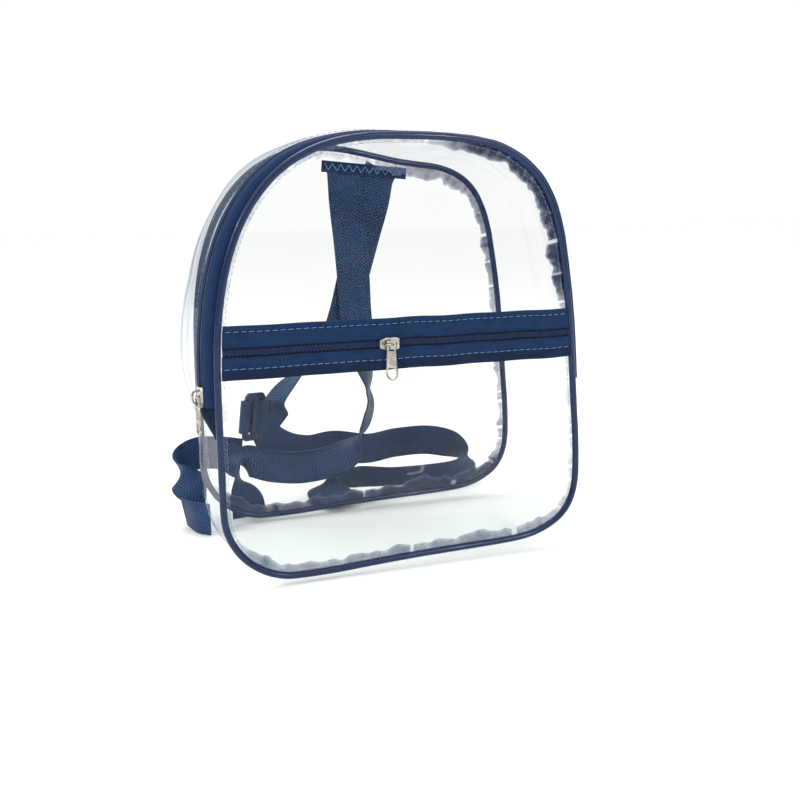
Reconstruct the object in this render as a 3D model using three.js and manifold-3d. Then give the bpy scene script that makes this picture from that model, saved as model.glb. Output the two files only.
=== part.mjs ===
// Clear PVC backpack with navy piping, zips and webbing straps.
// Millimetres, +Z up. X runs across the bag, Y from its front to its back, and the
// origin is the middle of the base, on the surface that the bag stands on.
import * as THREE from 'three';
import Module from 'manifold-3d';

const wasm = await Module();
wasm.setup();

// Driving dimensions of the body
const BAG_DEPTH = 131; // from the front piping's centre line to the back one's
const PIPING_RADIUS = 2.5;
const PIPING_HEIGHT = 5.5; // lowest point of the piping's centre line above the ground
const SHEET = 0.8; // clear sheet
const CLOTH = 1.0; // zip tape and the bound fold over it
const GAP = 0.3; // between neighbouring pieces
const FLANGE_WIDTH = 7.5; // sewn-in seam allowance behind the panel edge
const FLANGE = 0.8;

// The two panels are cut to one pattern. shift moves an outline sideways, sag lowers its top.
// The rows run round it from the middle of the base by the right: across is a share of the half
// width and up a share of the height.
const PATTERN = { halfWidth: 134, height: 299 };
const PATTERN_ROWS = [
  { across: 0, up: 0.0087 },
  { across: 0.234, up: 0.0112 },
  { across: 0.4, up: 0.0121 },
  { across: 0.541, up: 0.0134 },
  { across: 0.64, up: 0.0155 },
  { across: 0.73, up: 0.0208 },
  { across: 0.794, up: 0.0288 },
  { across: 0.858, up: 0.0414 },
  { across: 0.909, up: 0.0562 },
  { across: 0.947, up: 0.0731 },
  { across: 0.979, up: 0.0965 },
  { across: 1.001, up: 0.126 },
  { across: 1.01, up: 0.157 },
  { across: 1.0105, up: 0.2 },
  { across: 1.004, up: 0.262 },
  { across: 0.986, up: 0.35 },
  { across: 0.968, up: 0.44 },
  { across: 0.945, up: 0.55 },
  { across: 0.92, up: 0.635 },
  { across: 0.894, up: 0.705 },
  { across: 0.864, up: 0.775 },
  { across: 0.823, up: 0.835 },
  { across: 0.772, up: 0.881 },
  { across: 0.712, up: 0.916 },
  { across: 0.625, up: 0.9485 },
  { across: 0.51, up: 0.9755 },
  { across: 0.37, up: 0.991 },
  { across: 0.19, up: 0.9985 },
  { across: 0, up: 1 },
  { across: -0.19, up: 0.9983 },
  { across: -0.321, up: 0.9909 },
  { across: -0.452, up: 0.9756 },
  { across: -0.571, up: 0.9512 },
  { across: -0.668, up: 0.9207 },
  { across: -0.76, up: 0.878 },
  { across: -0.849, up: 0.817 },
  { across: -0.907, up: 0.756 },
  { across: -0.946, up: 0.695 },
  { across: -0.972, up: 0.634 },
  { across: -0.988, up: 0.573 },
  { across: -0.996, up: 0.512 },
  { across: -1, up: 0.43 },
  { across: -1, up: 0.3 },
  { across: -1, up: 0.17 },
  { across: -0.993, up: 0.137 },
  { across: -0.971, up: 0.105 },
  { across: -0.935, up: 0.075 },
  { across: -0.889, up: 0.0498 },
  { across: -0.8325, up: 0.0291 },
  { across: -0.765, up: 0.013 },
  { across: -0.686, up: 0.0026 },
  { across: -0.6, up: 0.0001 },
  { across: -0.5, up: 0 },
  { across: -0.4, up: 0.0009 },
  { across: -0.3, up: 0.003 },
  { across: -0.2, up: 0.0053 },
  { across: -0.1, up: 0.0072 },
];
const FRONT = { shift: 0, sag: 0, sagAt: 0, sagSpread: 50 };
const BACK = { shift: 4.5, sag: 12, sagAt: 46, sagSpread: 52 };

// Side wall between the panels, as it bulges
const SIDE_BULGE = 10; // most, half way back on each side
const BASE_BULGE = 11;
const ZIP_LIFT_SIDE = 7.2; // how far the zip stands out from the piping at the sides
const ZIP_LIFT_TOP = 4.6;
// side: -1 left, 1 right. up and back are shares of the height and the depth.
const SIDE_FOLDS = [
  { side: -1, up: 0.52, back: 0.5, out: 0.4, tall: 0.13, deep: 0.35 },
  { side: -1, up: 0.36, back: 0.6, out: -0.3, tall: 0.1, deep: 0.3 },
  { side: 1, up: 0.62, back: 0.5, out: 0.25, tall: 0.16, deep: 0.35 },
  { side: 1, up: 0.3, back: 0.45, out: -0.25, tall: 0.12, deep: 0.3 },
];

// Main zip, round the arch from side to side
const ZIP_END_HEIGHT = 129; // where the row of teeth stops, on both sides
const ZIP_DEPTH = 12.5; // middle of the teeth behind the piping's centre line
const COIL_WIDTH = 4.6;
const COIL_HEIGHT = 2.2;
const REAR_TAPE_WIDTH = 9;
const TAPE_LAP = 6; // of the rear tape under the side wall
const END_TAB_LENGTH = 28;

// Front pocket
const BAND_TOP = 184.2;
const UPPER_BAND = 15;
const LOWER_BAND = 15.9;
const POCKET_LAP = 8; // of the pocket sheet behind the lower band
const POCKET_BULGE = 8;
const BACK_CROWN = 4;

// Zip sliders and pulls
const SLIDER_LENGTH = 14;
const SLIDER_WIDTH = 8.4;
const SLIDER_PLATE = 1.2;
const SLIDER_NOSE = 0.62; // share of the width left at its ends
const BRIDGE_SPAN = 8.5;
const BRIDGE_BAR = 1.5;
const BRIDGE_RISE = 4.3; // middle of its bar above the plate
const PULL_LENGTH = 27.5;
const PULL_WIDTH = 9.4; // at the ring
const PULL = 1.1;
const PULL_BAR = 1.2;
const PULL_EYE_WIDTH = 4.2;
const PULL_EYE_LENGTH = 6.2;
const PULL_TURN = THREE.MathUtils.degToRad(45); // of the pocket's pull, about its own length
// Half of the pull's outline and of its ring's hole. down is a share of the length and wide
// of the width, so that 0.5 is the whole half.
const PULL_ROWS = [
  { down: 0.28, wide: 0.37 },
  { down: 0.64, wide: 0.4 },
  { down: 0.72, wide: 0.45 },
  { down: 0.82, wide: 0.5 },
  { down: 0.89, wide: 0.46 },
  { down: 0.955, wide: 0.3 },
  { down: 1, wide: 0.06 },
];
const RING_ROWS = [
  { down: 0.665, wide: 0.24 },
  { down: 0.7, wide: 0.315 },
  { down: 0.81, wide: 0.375 },
  { down: 0.87, wide: 0.34 },
  { down: 0.92, wide: 0.2 },
  { down: 0.955, wide: 0.03 },
];
const POCKET_SLIDER_AT = -0.122; // share of the half width, right of the middle
const MAIN_SLIDER_UP = 0; // above the left end of the teeth

// Webbing and its fittings
const WEBBING_WIDTH = 28;
const WEBBING = 1.5;
const GLIDE_LENGTH = 41;
const GLIDE_WIDTH = 22;
const GLIDE = 2.4;
const GLIDE_BAR = 4;
const GLIDE_RIM = 3;
const ANCHOR_WIDTH = 9;
const ANCHOR = 1.2;

// Fineness of the rounded shapes
const STATION_STEP = 22;
const STATION_TURN = THREE.MathUtils.degToRad(11);
const WEBBING_STEP = 11;

// Routes of the webbing, each row a bend. across is a share of the half width, behind a share
// of the depth counted from the back piping, up a share of the height. wx, wy, wz is the
// direction that the webbing's width lies in there.
const ANCHOR_ROUTE = [
  { across: -0.18, behind: 0.019, up: 0.965, wx: 0, wy: 0, wz: 1 },
  { across: 0.35, behind: 0.019, up: 0.945, wx: 0, wy: 0, wz: 1 },
];
const LEFT_UPPER_ROUTE = [
  { across: 0.175, behind: 0.048, up: 0.935, wx: 1, wy: 0, wz: -0.16 },
  { across: 0.15, behind: 0.066, up: 0.87, wx: 1, wy: 0, wz: -0.1 },
  { across: 0.09, behind: 0.085, up: 0.77, wx: 1, wy: 0.05, wz: 0.05 },
  { across: 0.02, behind: 0.095, up: 0.66, wx: 1, wy: 0.1, wz: 0.1 },
  { across: -0.06, behind: 0.105, up: 0.55, wx: 1, wy: 0.3, wz: 0.2 },
  { across: -0.2, behind: 0.13, up: 0.45, wx: 0.8, wy: 0.7, wz: 0.1 },
  { across: -0.33, behind: 0.2, up: 0.385, wx: 0.4, wy: 0.9, wz: 0.35 },
  { across: -0.44, behind: 0.27, up: 0.325, wx: 0.2, wy: 0.6, wz: 0.75 },
];
const LEFT_TAIL_ROUTE = [
  { across: -0.5, behind: 0.33, up: 0.205, wx: 0.35, wy: 0.15, wz: 1 },
  { across: -0.37, behind: 0.355, up: 0.162, wx: 0.25, wy: 0.2, wz: 1 },
  { across: -0.22, behind: 0.36, up: 0.146, wx: 0, wy: 0.2, wz: 1 },
  { across: -0.06, behind: 0.365, up: 0.152, wx: 0, wy: 0.15, wz: 1 },
  { across: 0.2, behind: 0.41, up: 0.128, wx: 0, wy: 0, wz: 1 },
  { across: 0.42, behind: 0.44, up: 0.134, wx: 0, wy: 0, wz: 1 },
  { across: 0.68, behind: 0.44, up: 0.13, wx: -0.1, wy: 0, wz: 1 },
  { across: 0.85, behind: 0.41, up: 0.105, wx: -0.4, wy: -0.1, wz: 0.9 },
  { across: 0.93, behind: 0.345, up: 0.068, wx: -0.6, wy: -0.2, wz: 0.75 },
  { across: 0.83, behind: 0.295, up: 0.047, wx: -0.3, wy: -0.45, wz: 0.8 },
  { across: 0.55, behind: 0.285, up: 0.044, wx: 0, wy: -0.6, wz: 0.8 },
  { across: 0.3, behind: 0.285, up: 0.048, wx: 0, wy: -0.6, wz: 0.8 },
  { across: 0.08, behind: 0.285, up: 0.058, wx: 0, wy: -0.5, wz: 0.85 },
  { across: -0.1, behind: 0.275, up: 0.055, wx: 0, wy: -0.7, wz: 0.6 },
  { across: -0.19, behind: 0.225, up: 0.05, wx: 0.3, wy: -0.8, wz: 0.3 },
  { across: -0.17, behind: 0.16, up: 0.045, wx: 0.9, wy: -0.4, wz: 0.2 },
  { across: -0.11, behind: 0.1, up: 0.036, wx: 1, wy: 0, wz: 0.1 },
  { across: -0.08, behind: 0.06, up: 0.03, wx: 1, wy: 0, wz: 0.05 },
  { across: -0.075, behind: 0.036, up: 0.028, wx: 1, wy: 0, wz: 0 },
];
const RIGHT_ROUTE = [
  { across: -0.04, behind: 0.031, up: 0.945, wx: 1, wy: 0, wz: -0.08 },
  { across: -0.03, behind: 0.038, up: 0.87, wx: 1, wy: 0, wz: 0 },
  { across: -0.005, behind: 0.048, up: 0.77, wx: 1, wy: 0, wz: 0 },
  { across: 0.015, behind: 0.052, up: 0.66, wx: 1, wy: 0, wz: 0 },
  { across: 0.03, behind: 0.057, up: 0.55, wx: 1, wy: 0.05, wz: 0 },
  { across: 0.075, behind: 0.08, up: 0.46, wx: 0.9, wy: 0.4, wz: 0 },
  { across: 0.13, behind: 0.13, up: 0.37, wx: 0.5, wy: 0.85, wz: 0 },
  { across: 0.135, behind: 0.155, up: 0.325, wx: 0.33, wy: 0.93, wz: 0 },
  { across: 0.145, behind: 0.18, up: 0.275, wx: 0.55, wy: 0.75, wz: 0.2 },
  { across: 0.1, behind: 0.2, up: 0.205, wx: 0.6, wy: 0.4, wz: 0.6 },
  { across: -0.02, behind: 0.205, up: 0.142, wx: 0.3, wy: 0.4, wz: 0.85 },
  { across: -0.28, behind: 0.22, up: 0.116, wx: 0, wy: 0.3, wz: 0.95 },
  { across: -0.5, behind: 0.225, up: 0.128, wx: 0, wy: 0.3, wz: 0.95 },
  { across: -0.655, behind: 0.21, up: 0.152, wx: -0.1, wy: 0.4, wz: 0.9 },
  { across: -0.73, behind: 0.18, up: 0.15, wx: -0.2, wy: 0.9, wz: 0.3 },
  { across: -0.735, behind: 0.12, up: 0.125, wx: 0.1, wy: 1, wz: -0.2 },
  { across: -0.72, behind: 0.075, up: 0.09, wx: 0.75, wy: 0.6, wz: 0 },
  { across: -0.7, behind: 0.045, up: 0.055, wx: 1, wy: 0.1, wz: 0 },
  { across: -0.695, behind: 0.0275, up: 0.015, wx: 1, wy: 0, wz: -0.08 },
];
const RING_ROUTE = [
  { across: -0.69, behind: 0.27, up: 0.165, wx: 0.1, wy: 0.3, wz: 0.95 },
  { across: -0.84, behind: 0.275, up: 0.178, wx: 0, wy: 0.1, wz: 1 },
  { across: -0.98, behind: 0.255, up: 0.183, wx: -0.1, wy: 0, wz: 1 },
  { across: -1.07, behind: 0.195, up: 0.165, wx: -0.2, wy: 0.1, wz: 0.95 },
  { across: -1.08, behind: 0.12, up: 0.135, wx: 0.1, wy: 0.4, wz: 0.85 },
  { across: -1.03, behind: 0.06, up: 0.115, wx: 0.1, wy: 0.4, wz: 0.85 },
  { across: -0.95, behind: 0.0275, up: 0.11, wx: 0, wy: 0, wz: 1 },
];
const TAB_ROUTE = [
  { across: -1.0868, behind: 0.048, up: 0.048, wx: -0.28, wy: 0.1, wz: 0.95 },
  { across: -1.03, behind: -0.07, up: 0.046, wx: -0.1, wy: 0.1, wz: 1 },
  { across: -0.96, behind: -0.14, up: 0.046, wx: 0, wy: 0, wz: 1 },
];

const HALF_DEPTH = BAG_DEPTH / 2;

// Materials
const navyVinyl = new THREE.MeshStandardMaterial({ color: 0x16305a, roughness: 0.45, metalness: 0 });
const navyCloth = new THREE.MeshStandardMaterial({ color: 0x1e4074, roughness: 0.7, metalness: 0 });
const webbing = new THREE.MeshStandardMaterial({ color: 0x1f3a63, roughness: 0.85, metalness: 0 });
const coilNylon = new THREE.MeshStandardMaterial({ color: 0x131a2c, roughness: 0.5, metalness: 0 });
const darkPlastic = new THREE.MeshStandardMaterial({ color: 0x131b30, roughness: 0.35, metalness: 0 });
const nickel = new THREE.MeshStandardMaterial({ color: 0xb9b6ab, roughness: 0.25, metalness: 1 });
const clearSheet = new THREE.MeshStandardMaterial({
  color: 0xf2f6f5,
  roughness: 0.1,
  metalness: 0,
  transparent: true,
  opacity: 0.25,
});

const group = new THREE.Group();

function addMesh(name, geometry, material) {
  const mesh = new THREE.Mesh(geometry, material.clone());
  mesh.name = name;
  group.add(mesh);
  return mesh;
}

const clamp01 = (value) => THREE.MathUtils.clamp(value, 0, 1);

// Whole outline, from the middle of the base round by the right
function patternOutline() {
  const { halfWidth, height } = PATTERN;
  const bends = PATTERN_ROWS.map((row) => new THREE.Vector3(row.across * halfWidth, row.up * height, 0));
  const loop = new THREE.CatmullRomCurve3(bends, true, 'centripetal');
  return loop.getPoints(9 * bends.length).slice(0, -1).map((p) => new THREE.Vector2(p.x, p.y));
}

// Stations round the outline, closer where it turns. Each has a place, an outward normal and
// the share of the way round, and the two ends of the main zip are stations of their own.
function makeStations() {
  const points = patternOutline();
  const count = points.length;
  const run = [0];
  for (let i = 0; i < count; i += 1) run.push(run[i] + points[i].distanceTo(points[(i + 1) % count]));
  const length = run[count];
  const tangentAt = (i) => {
    const before = points[(i + count - 1) % count];
    const after = points[(i + 1) % count];
    return new THREE.Vector2().subVectors(after, before).normalize();
  };
  const effort = [0];
  for (let i = 0; i < count; i += 1) {
    const turn = Math.abs(tangentAt(i).cross(tangentAt((i + 1) % count)));
    effort.push(effort[i] + (run[i + 1] - run[i]) / STATION_STEP + turn / STATION_TURN);
  }
  const at = (distance) => {
    const wrapped = ((distance % length) + length) % length;
    let i = 0;
    while (run[i + 1] < wrapped) i += 1;
    const share = (wrapped - run[i]) / (run[i + 1] - run[i] || 1);
    const place = points[i].clone().lerp(points[(i + 1) % count], share);
    const tangent = tangentAt(i).lerp(tangentAt((i + 1) % count), share).normalize();
    return { x: place.x, z: place.y, nx: tangent.y, nz: -tangent.x, distance: wrapped, length };
  };
  const total = Math.round(effort[count]);
  const distances = [];
  let i = 0;
  for (let k = 0; k < total; k += 1) {
    const wanted = ((k + 0.5) / total) * effort[count];
    while (effort[i + 1] < wanted) i += 1;
    const share = (wanted - effort[i]) / (effort[i + 1] - effort[i]);
    distances.push(run[i] + share * (run[i + 1] - run[i]));
  }
  return { at, distances, length };
}

const ROUND = makeStations();

// Distance round the outline to a height on one side, 1 right and -1 left
function distanceToHeight(height, side) {
  let low = 0;
  let high = 0.5;
  const distance = (share) => (side > 0 ? share : 1 - share) * ROUND.length;
  for (let k = 0; k < 50; k += 1) {
    const middle = (low + high) / 2;
    if (ROUND.at(distance(middle)).z < height) low = middle;
    else high = middle;
  }
  return distance(low);
}

const ZIP_START = distanceToHeight(ZIP_END_HEIGHT - PIPING_HEIGHT, 1);
const ZIP_FINISH = distanceToHeight(ZIP_END_HEIGHT - PIPING_HEIGHT, -1);
const NEAR = 4; // stations closer than this to a zip end give way to it
const TAB_STEPS = [0, 0.26, 0.52, 0.78]; // shares of the tab's length
const FIXED = TAB_STEPS.concat(1).flatMap((share) => [
  ZIP_START - share * END_TAB_LENGTH,
  ZIP_FINISH + share * END_TAB_LENGTH,
]);
const STATIONS = ROUND.distances
  .filter((d) => FIXED.every((f) => Math.abs(d - f) > NEAR))
  .concat(FIXED)
  .sort((a, b) => a - b)
  .map((d) => ROUND.at(d));

// Place of a station on the front or back outline, moved outward by out
function onOutline(station, shape, out) {
  const drop = shape.sag * Math.exp(-(((station.x - shape.sagAt) / shape.sagSpread) ** 2));
  const archShare = clamp01((station.z / PATTERN.height - 0.6) / 0.4);
  return {
    x: station.x + shape.shift + station.nx * out,
    z: station.z + PIPING_HEIGHT - drop * archShare + station.nz * out,
  };
}

// How far the side wall stands out from the straight line between the two pipings.
// back runs from 0 at the front piping to 1 at the back one.
function wallRise(station, back) {
  const side = Math.abs(station.nx);
  const zipShare = zipNearness(station);
  const lift = zipShare * (ZIP_LIFT_TOP + (ZIP_LIFT_SIDE - ZIP_LIFT_TOP) * side);
  let bulge = SIDE_BULGE * side * (0.5 + 0.5 * clamp01(station.z / (0.45 * PATTERN.height)));
  for (const fold of SIDE_FOLDS) {
    const up = (station.z / PATTERN.height - fold.up) / fold.tall;
    const depth = (back - fold.back) / fold.deep;
    if (fold.side * station.nx > 0) bulge += SIDE_BULGE * side * fold.out * Math.exp(-up * up - depth * depth);
  }
  bulge += BASE_BULGE * Math.max(0, -station.nz) ** 2;
  return lift * (1 - back) + bulge * Math.sin(Math.PI * back);
}

// 1 along the teeth, falling to 0 where the end tabs come to a point
function zipNearness(station) {
  const outside = Math.max(ZIP_START - station.distance, station.distance - ZIP_FINISH, 0);
  const share = clamp01(1 - outside / END_TAB_LENGTH);
  return share * share * (3 - 2 * share);
}

// A point of the side wall: y counts back from the front piping's centre line
function wallPoint(station, y, out) {
  const back = y / BAG_DEPTH;
  const rise = wallRise(station, back) + out;
  const front = onOutline(station, FRONT, rise);
  const rear = onOutline(station, BACK, rise);
  return new THREE.Vector3(
    THREE.MathUtils.lerp(front.x, rear.x, back),
    y - HALF_DEPTH,
    THREE.MathUtils.lerp(front.z, rear.z, back),
  );
}

// Closed body from rings of points. The rings are joined end to end when closed is true,
// and otherwise the first and last are capped.
function bodyFromRings(rings, closed) {
  const size = rings[0].length;
  const positions = rings.flat().flatMap((p) => [p.x, p.y, p.z]);
  const index = [];
  const last = closed ? rings.length : rings.length - 1;
  for (let r = 0; r < last; r += 1) {
    const a = r * size;
    const b = ((r + 1) % rings.length) * size;
    for (let k = 0; k < size; k += 1) {
      const n = (k + 1) % size;
      index.push(a + k, b + k, b + n, a + k, b + n, a + n);
    }
  }
  if (!closed) {
    const end = (rings.length - 1) * size;
    for (const [start, flip] of [[0, false], [end, true]]) {
      const centre = positions.length / 3;
      const ring = rings[start / size];
      const middle = ring.reduce((sum, p) => sum.add(p), new THREE.Vector3()).divideScalar(size);
      positions.push(middle.x, middle.y, middle.z);
      for (let k = 0; k < size; k += 1) {
        const n = (k + 1) % size;
        if (flip) index.push(centre, start + n, start + k);
        else index.push(centre, start + k, start + n);
      }
    }
  }
  return outwardGeometry(positions, index);
}

function outwardGeometry(positions, index) {
  let volume = 0;
  const at = (i) => new THREE.Vector3(positions[3 * i], positions[3 * i + 1], positions[3 * i + 2]);
  for (let t = 0; t < index.length; t += 3) {
    volume += at(index[t]).dot(at(index[t + 1]).cross(at(index[t + 2])));
  }
  if (volume < 0) {
    for (let t = 0; t < index.length; t += 3) [index[t + 1], index[t + 2]] = [index[t + 2], index[t + 1]];
  }
  const geometry = new THREE.BufferGeometry();
  geometry.setAttribute('position', new THREE.Float32BufferAttribute(positions, 3));
  geometry.setIndex(index);
  geometry.computeVertexNormals();
  return geometry;
}

// Piping: round bead and the seam allowance that runs inward from it. facing is 1 where the
// inside of the bag lies toward +Y and -1 where it lies toward -Y.
function pipingGeometry(shape, facing) {
  const beadSides = 7;
  const tongueNear = SHEET / 2 + GAP;
  const tongueFar = tongueNear + FLANGE;
  const startAngle = Math.PI - Math.asin(tongueNear / PIPING_RADIUS);
  const endAngle = -Math.PI + Math.asin(tongueFar / PIPING_RADIUS);
  const profile = [];
  for (let k = 0; k <= beadSides; k += 1) {
    const angle = THREE.MathUtils.lerp(startAngle, endAngle, k / beadSides);
    profile.push({ out: Math.cos(angle) * PIPING_RADIUS, y: -Math.sin(angle) * PIPING_RADIUS });
  }
  profile[0].y = tongueNear;
  profile[beadSides].y = tongueFar;
  const inner = -PIPING_RADIUS - FLANGE_WIDTH;
  profile.push({ out: inner, y: tongueFar }, { out: inner, y: tongueNear });
  const plane = facing > 0 ? -HALF_DEPTH : HALF_DEPTH;
  const rings = STATIONS.map((station) =>
    profile.map((p) => {
      const place = onOutline(station, shape, p.out);
      return new THREE.Vector3(place.x, plane + facing * p.y, place.z);
    }),
  );
  return bodyFromRings(rings, true);
}

// Sheet on an outline: rings shrink toward the middle, and depthAt gives each ring's y
function sheetGeometry(outline, ringShares, depthAt, thickness) {
  const count = outline.length;
  const middle = outline
    .reduce((sum, p) => sum.add(new THREE.Vector2(p.x, p.z)), new THREE.Vector2())
    .divideScalar(count);
  const positions = [];
  const index = [];
  for (const face of [-0.5, 0.5]) {
    for (const share of ringShares) {
      for (const p of outline) {
        const x = THREE.MathUtils.lerp(middle.x, p.x, share);
        const z = THREE.MathUtils.lerp(middle.y, p.z, share);
        positions.push(x, depthAt(share) + face * thickness, z);
      }
    }
    positions.push(middle.x, depthAt(0) + face * thickness, middle.y);
  }
  const perFace = ringShares.length * count + 1;
  for (const [base, flip] of [[0, true], [perFace, false]]) {
    const add = (a, b, c) => index.push(base + a, base + (flip ? c : b), base + (flip ? b : c));
    for (let r = 0; r < ringShares.length; r += 1) {
      for (let k = 0; k < count; k += 1) {
        const n = (k + 1) % count;
        const a = r * count;
        const b = a + count;
        if (r === ringShares.length - 1) add(a + k, perFace - 1, a + n);
        else {
          add(a + k, b + k, b + n);
          add(a + k, b + n, a + n);
        }
      }
    }
  }
  for (let k = 0; k < count; k += 1) {
    const n = (k + 1) % count;
    index.push(k, perFace + n, n, k, perFace + k, perFace + n);
  }
  return outwardGeometry(positions, index);
}

const EDGE_INSET = -(PIPING_RADIUS + GAP + 0.1);

// Side wall, open where the main zip runs round the arch
function sideWallGeometry() {
  const across = [0, 0.14, 0.32, 0.5, 0.7, 0.87, 1];
  const plainStart = PIPING_RADIUS + GAP;
  const zipStart = ZIP_DEPTH + COIL_WIDTH / 2 + GAP + REAR_TAPE_WIDTH - TAPE_LAP;
  const end = BAG_DEPTH - PIPING_RADIUS - GAP;
  const rings = STATIONS.map((station) => {
    const start = THREE.MathUtils.lerp(plainStart, zipStart, zipNearness(station));
    const outer = across.map((share) => wallPoint(station, THREE.MathUtils.lerp(start, end, share), SHEET));
    const inner = across.map((share) => wallPoint(station, THREE.MathUtils.lerp(start, end, share), 0));
    for (const p of outer) p.z = Math.max(p.z, 0);
    for (const p of inner) p.z = Math.max(p.z, SHEET);
    return outer.concat(inner.reverse());
  });
  return bodyFromRings(rings, true);
}

const ZIP_STATIONS = STATIONS.filter((s) => s.distance >= ZIP_START - 0.01 && s.distance <= ZIP_FINISH + 0.01);

// A strip along the zip: path gives its middle line across, as [y, out] pairs
function zipStripGeometry(stations, path, thickness) {
  const rings = stations.map((station) => {
    const line = path(station);
    const offset = line.map(([y, out], k) => {
      const before = line[Math.max(k - 1, 0)];
      const after = line[Math.min(k + 1, line.length - 1)];
      const slope = new THREE.Vector2(after[0] - before[0], after[1] - before[1]).normalize();
      return { y, out, ny: -slope.y * (thickness / 2), nOut: slope.x * (thickness / 2) };
    });
    const outer = offset.map((p) => zipPoint(station, p.y + p.ny, p.out + p.nOut));
    const inner = offset.map((p) => zipPoint(station, p.y - p.ny, p.out - p.nOut));
    return outer.concat(inner.reverse());
  });
  return bodyFromRings(rings, false);
}

// A point near the zip: out counts from the line between the pipings
function zipPoint(station, y, out) {
  return wallPoint(station, y, out - wallRise(station, y / BAG_DEPTH));
}

// The coil's middle line stands level with the middle of the tapes
const TAPE_UNDER_WALL = -(GAP + CLOTH / 2);
const coilOut = (station) => wallRise(station, ZIP_DEPTH / BAG_DEPTH) + TAPE_UNDER_WALL;

function frontTapePath(station) {
  const start = PIPING_RADIUS + GAP + CLOTH / 2;
  const end = ZIP_DEPTH - COIL_WIDTH / 2 - GAP;
  const rise = wallRise(station, end / BAG_DEPTH) + TAPE_UNDER_WALL;
  return [
    [start, 0.6],
    [THREE.MathUtils.lerp(start, end, 0.18), THREE.MathUtils.lerp(0.6, rise, 0.5)],
    [THREE.MathUtils.lerp(start, end, 0.5), THREE.MathUtils.lerp(0.6, rise, 0.88)],
    [end, rise],
  ];
}

function rearTapePath(station) {
  const start = ZIP_DEPTH + COIL_WIDTH / 2 + GAP;
  const end = start + REAR_TAPE_WIDTH;
  const at = (y) => wallRise(station, y / BAG_DEPTH) + TAPE_UNDER_WALL;
  return [[start, at(start)], [end, at(end)]];
}

function coilGeometry() {
  const sides = 6;
  const rings = ZIP_STATIONS.map((station) =>
    Array.from({ length: sides }, (_, k) => {
      const angle = (k / sides) * Math.PI * 2;
      return zipPoint(
        station,
        ZIP_DEPTH + (Math.cos(angle) * COIL_WIDTH) / 2,
        coilOut(station) + (Math.sin(angle) * COIL_HEIGHT) / 2,
      );
    }),
  );
  return bodyFromRings(rings, false);
}

// Cloth tab that closes the slot below the teeth and comes to a point beside the piping
function endTabGeometry(side) {
  const rings = [];
  for (const share of TAB_STEPS) {
    const along = Math.max(share * END_TAB_LENGTH, GAP);
    const distance = side > 0 ? ZIP_START - along : ZIP_FINISH + along;
    const station = ROUND.at(distance);
    const plainStart = PIPING_RADIUS + GAP;
    const zipStart = ZIP_DEPTH + COIL_WIDTH / 2 + GAP + REAR_TAPE_WIDTH - TAPE_LAP;
    const wallStart = THREE.MathUtils.lerp(plainStart, zipStart, zipNearness(station));
    const from = plainStart + CLOTH / 2;
    const to = Math.max(wallStart - GAP, from + 0.6);
    const rise = wallRise(station, to / BAG_DEPTH);
    const line = [
      [from, 0.5],
      [THREE.MathUtils.lerp(from, to, 0.45), THREE.MathUtils.lerp(0.5, rise, 0.75)],
      [to, Math.max(rise, 0.5)],
    ];
    const outer = line.map(([y, out]) => zipPoint(station, y, out + CLOTH / 2));
    const inner = line.map(([y, out]) => zipPoint(station, y, out - CLOTH / 2));
    rings.push(outer.concat(inner.reverse()));
  }
  return bodyFromRings(rings, false);
}

// How far the clear space inside the front piping reaches at a height, on one side
function reachAt(z, side) {
  const wanted = Math.min(z - PIPING_HEIGHT, PATTERN.height * 0.9);
  return side * (Math.abs(ROUND.at(distanceToHeight(wanted, side)).x) + EDGE_INSET);
}

const POCKET_SHEET_Y = -HALF_DEPTH - SHEET - GAP;
const BAND_Y = POCKET_SHEET_Y - SHEET / 2 - GAP - CLOTH / 2;
const COIL_ROW = COIL_WIDTH + 2 * GAP;
const BAND_BOTTOM = BAND_TOP - UPPER_BAND - COIL_ROW - LOWER_BAND;
const POCKET_COIL_Z = BAND_TOP - UPPER_BAND - COIL_ROW / 2;

function bandGeometry(top, height) {
  const bottom = top - height;
  const shape = new THREE.Shape([
    new THREE.Vector2(reachAt(bottom, -1), bottom),
    new THREE.Vector2(reachAt(bottom, 1), bottom),
    new THREE.Vector2(reachAt(top, 1), top),
    new THREE.Vector2(reachAt(top, -1), top),
  ]);
  const geometry = new THREE.ExtrudeGeometry(shape, { depth: CLOTH, bevelEnabled: false });
  geometry.rotateX(Math.PI / 2);
  geometry.translate(0, BAND_Y + CLOTH / 2, 0);
  return geometry;
}

function pocketCoilGeometry() {
  const left = reachAt(POCKET_COIL_Z, -1);
  const length = reachAt(POCKET_COIL_Z, 1) - left;
  const shape = new THREE.Shape();
  shape.absellipse(0, 0, COIL_WIDTH / 2, COIL_HEIGHT / 2, 0, Math.PI * 2);
  const geometry = new THREE.ExtrudeGeometry(shape, { depth: length, bevelEnabled: false, curveSegments: 4 });
  geometry.rotateY(Math.PI / 2);
  geometry.translate(left, BAND_Y, POCKET_COIL_Z);
  return geometry;
}

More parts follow.
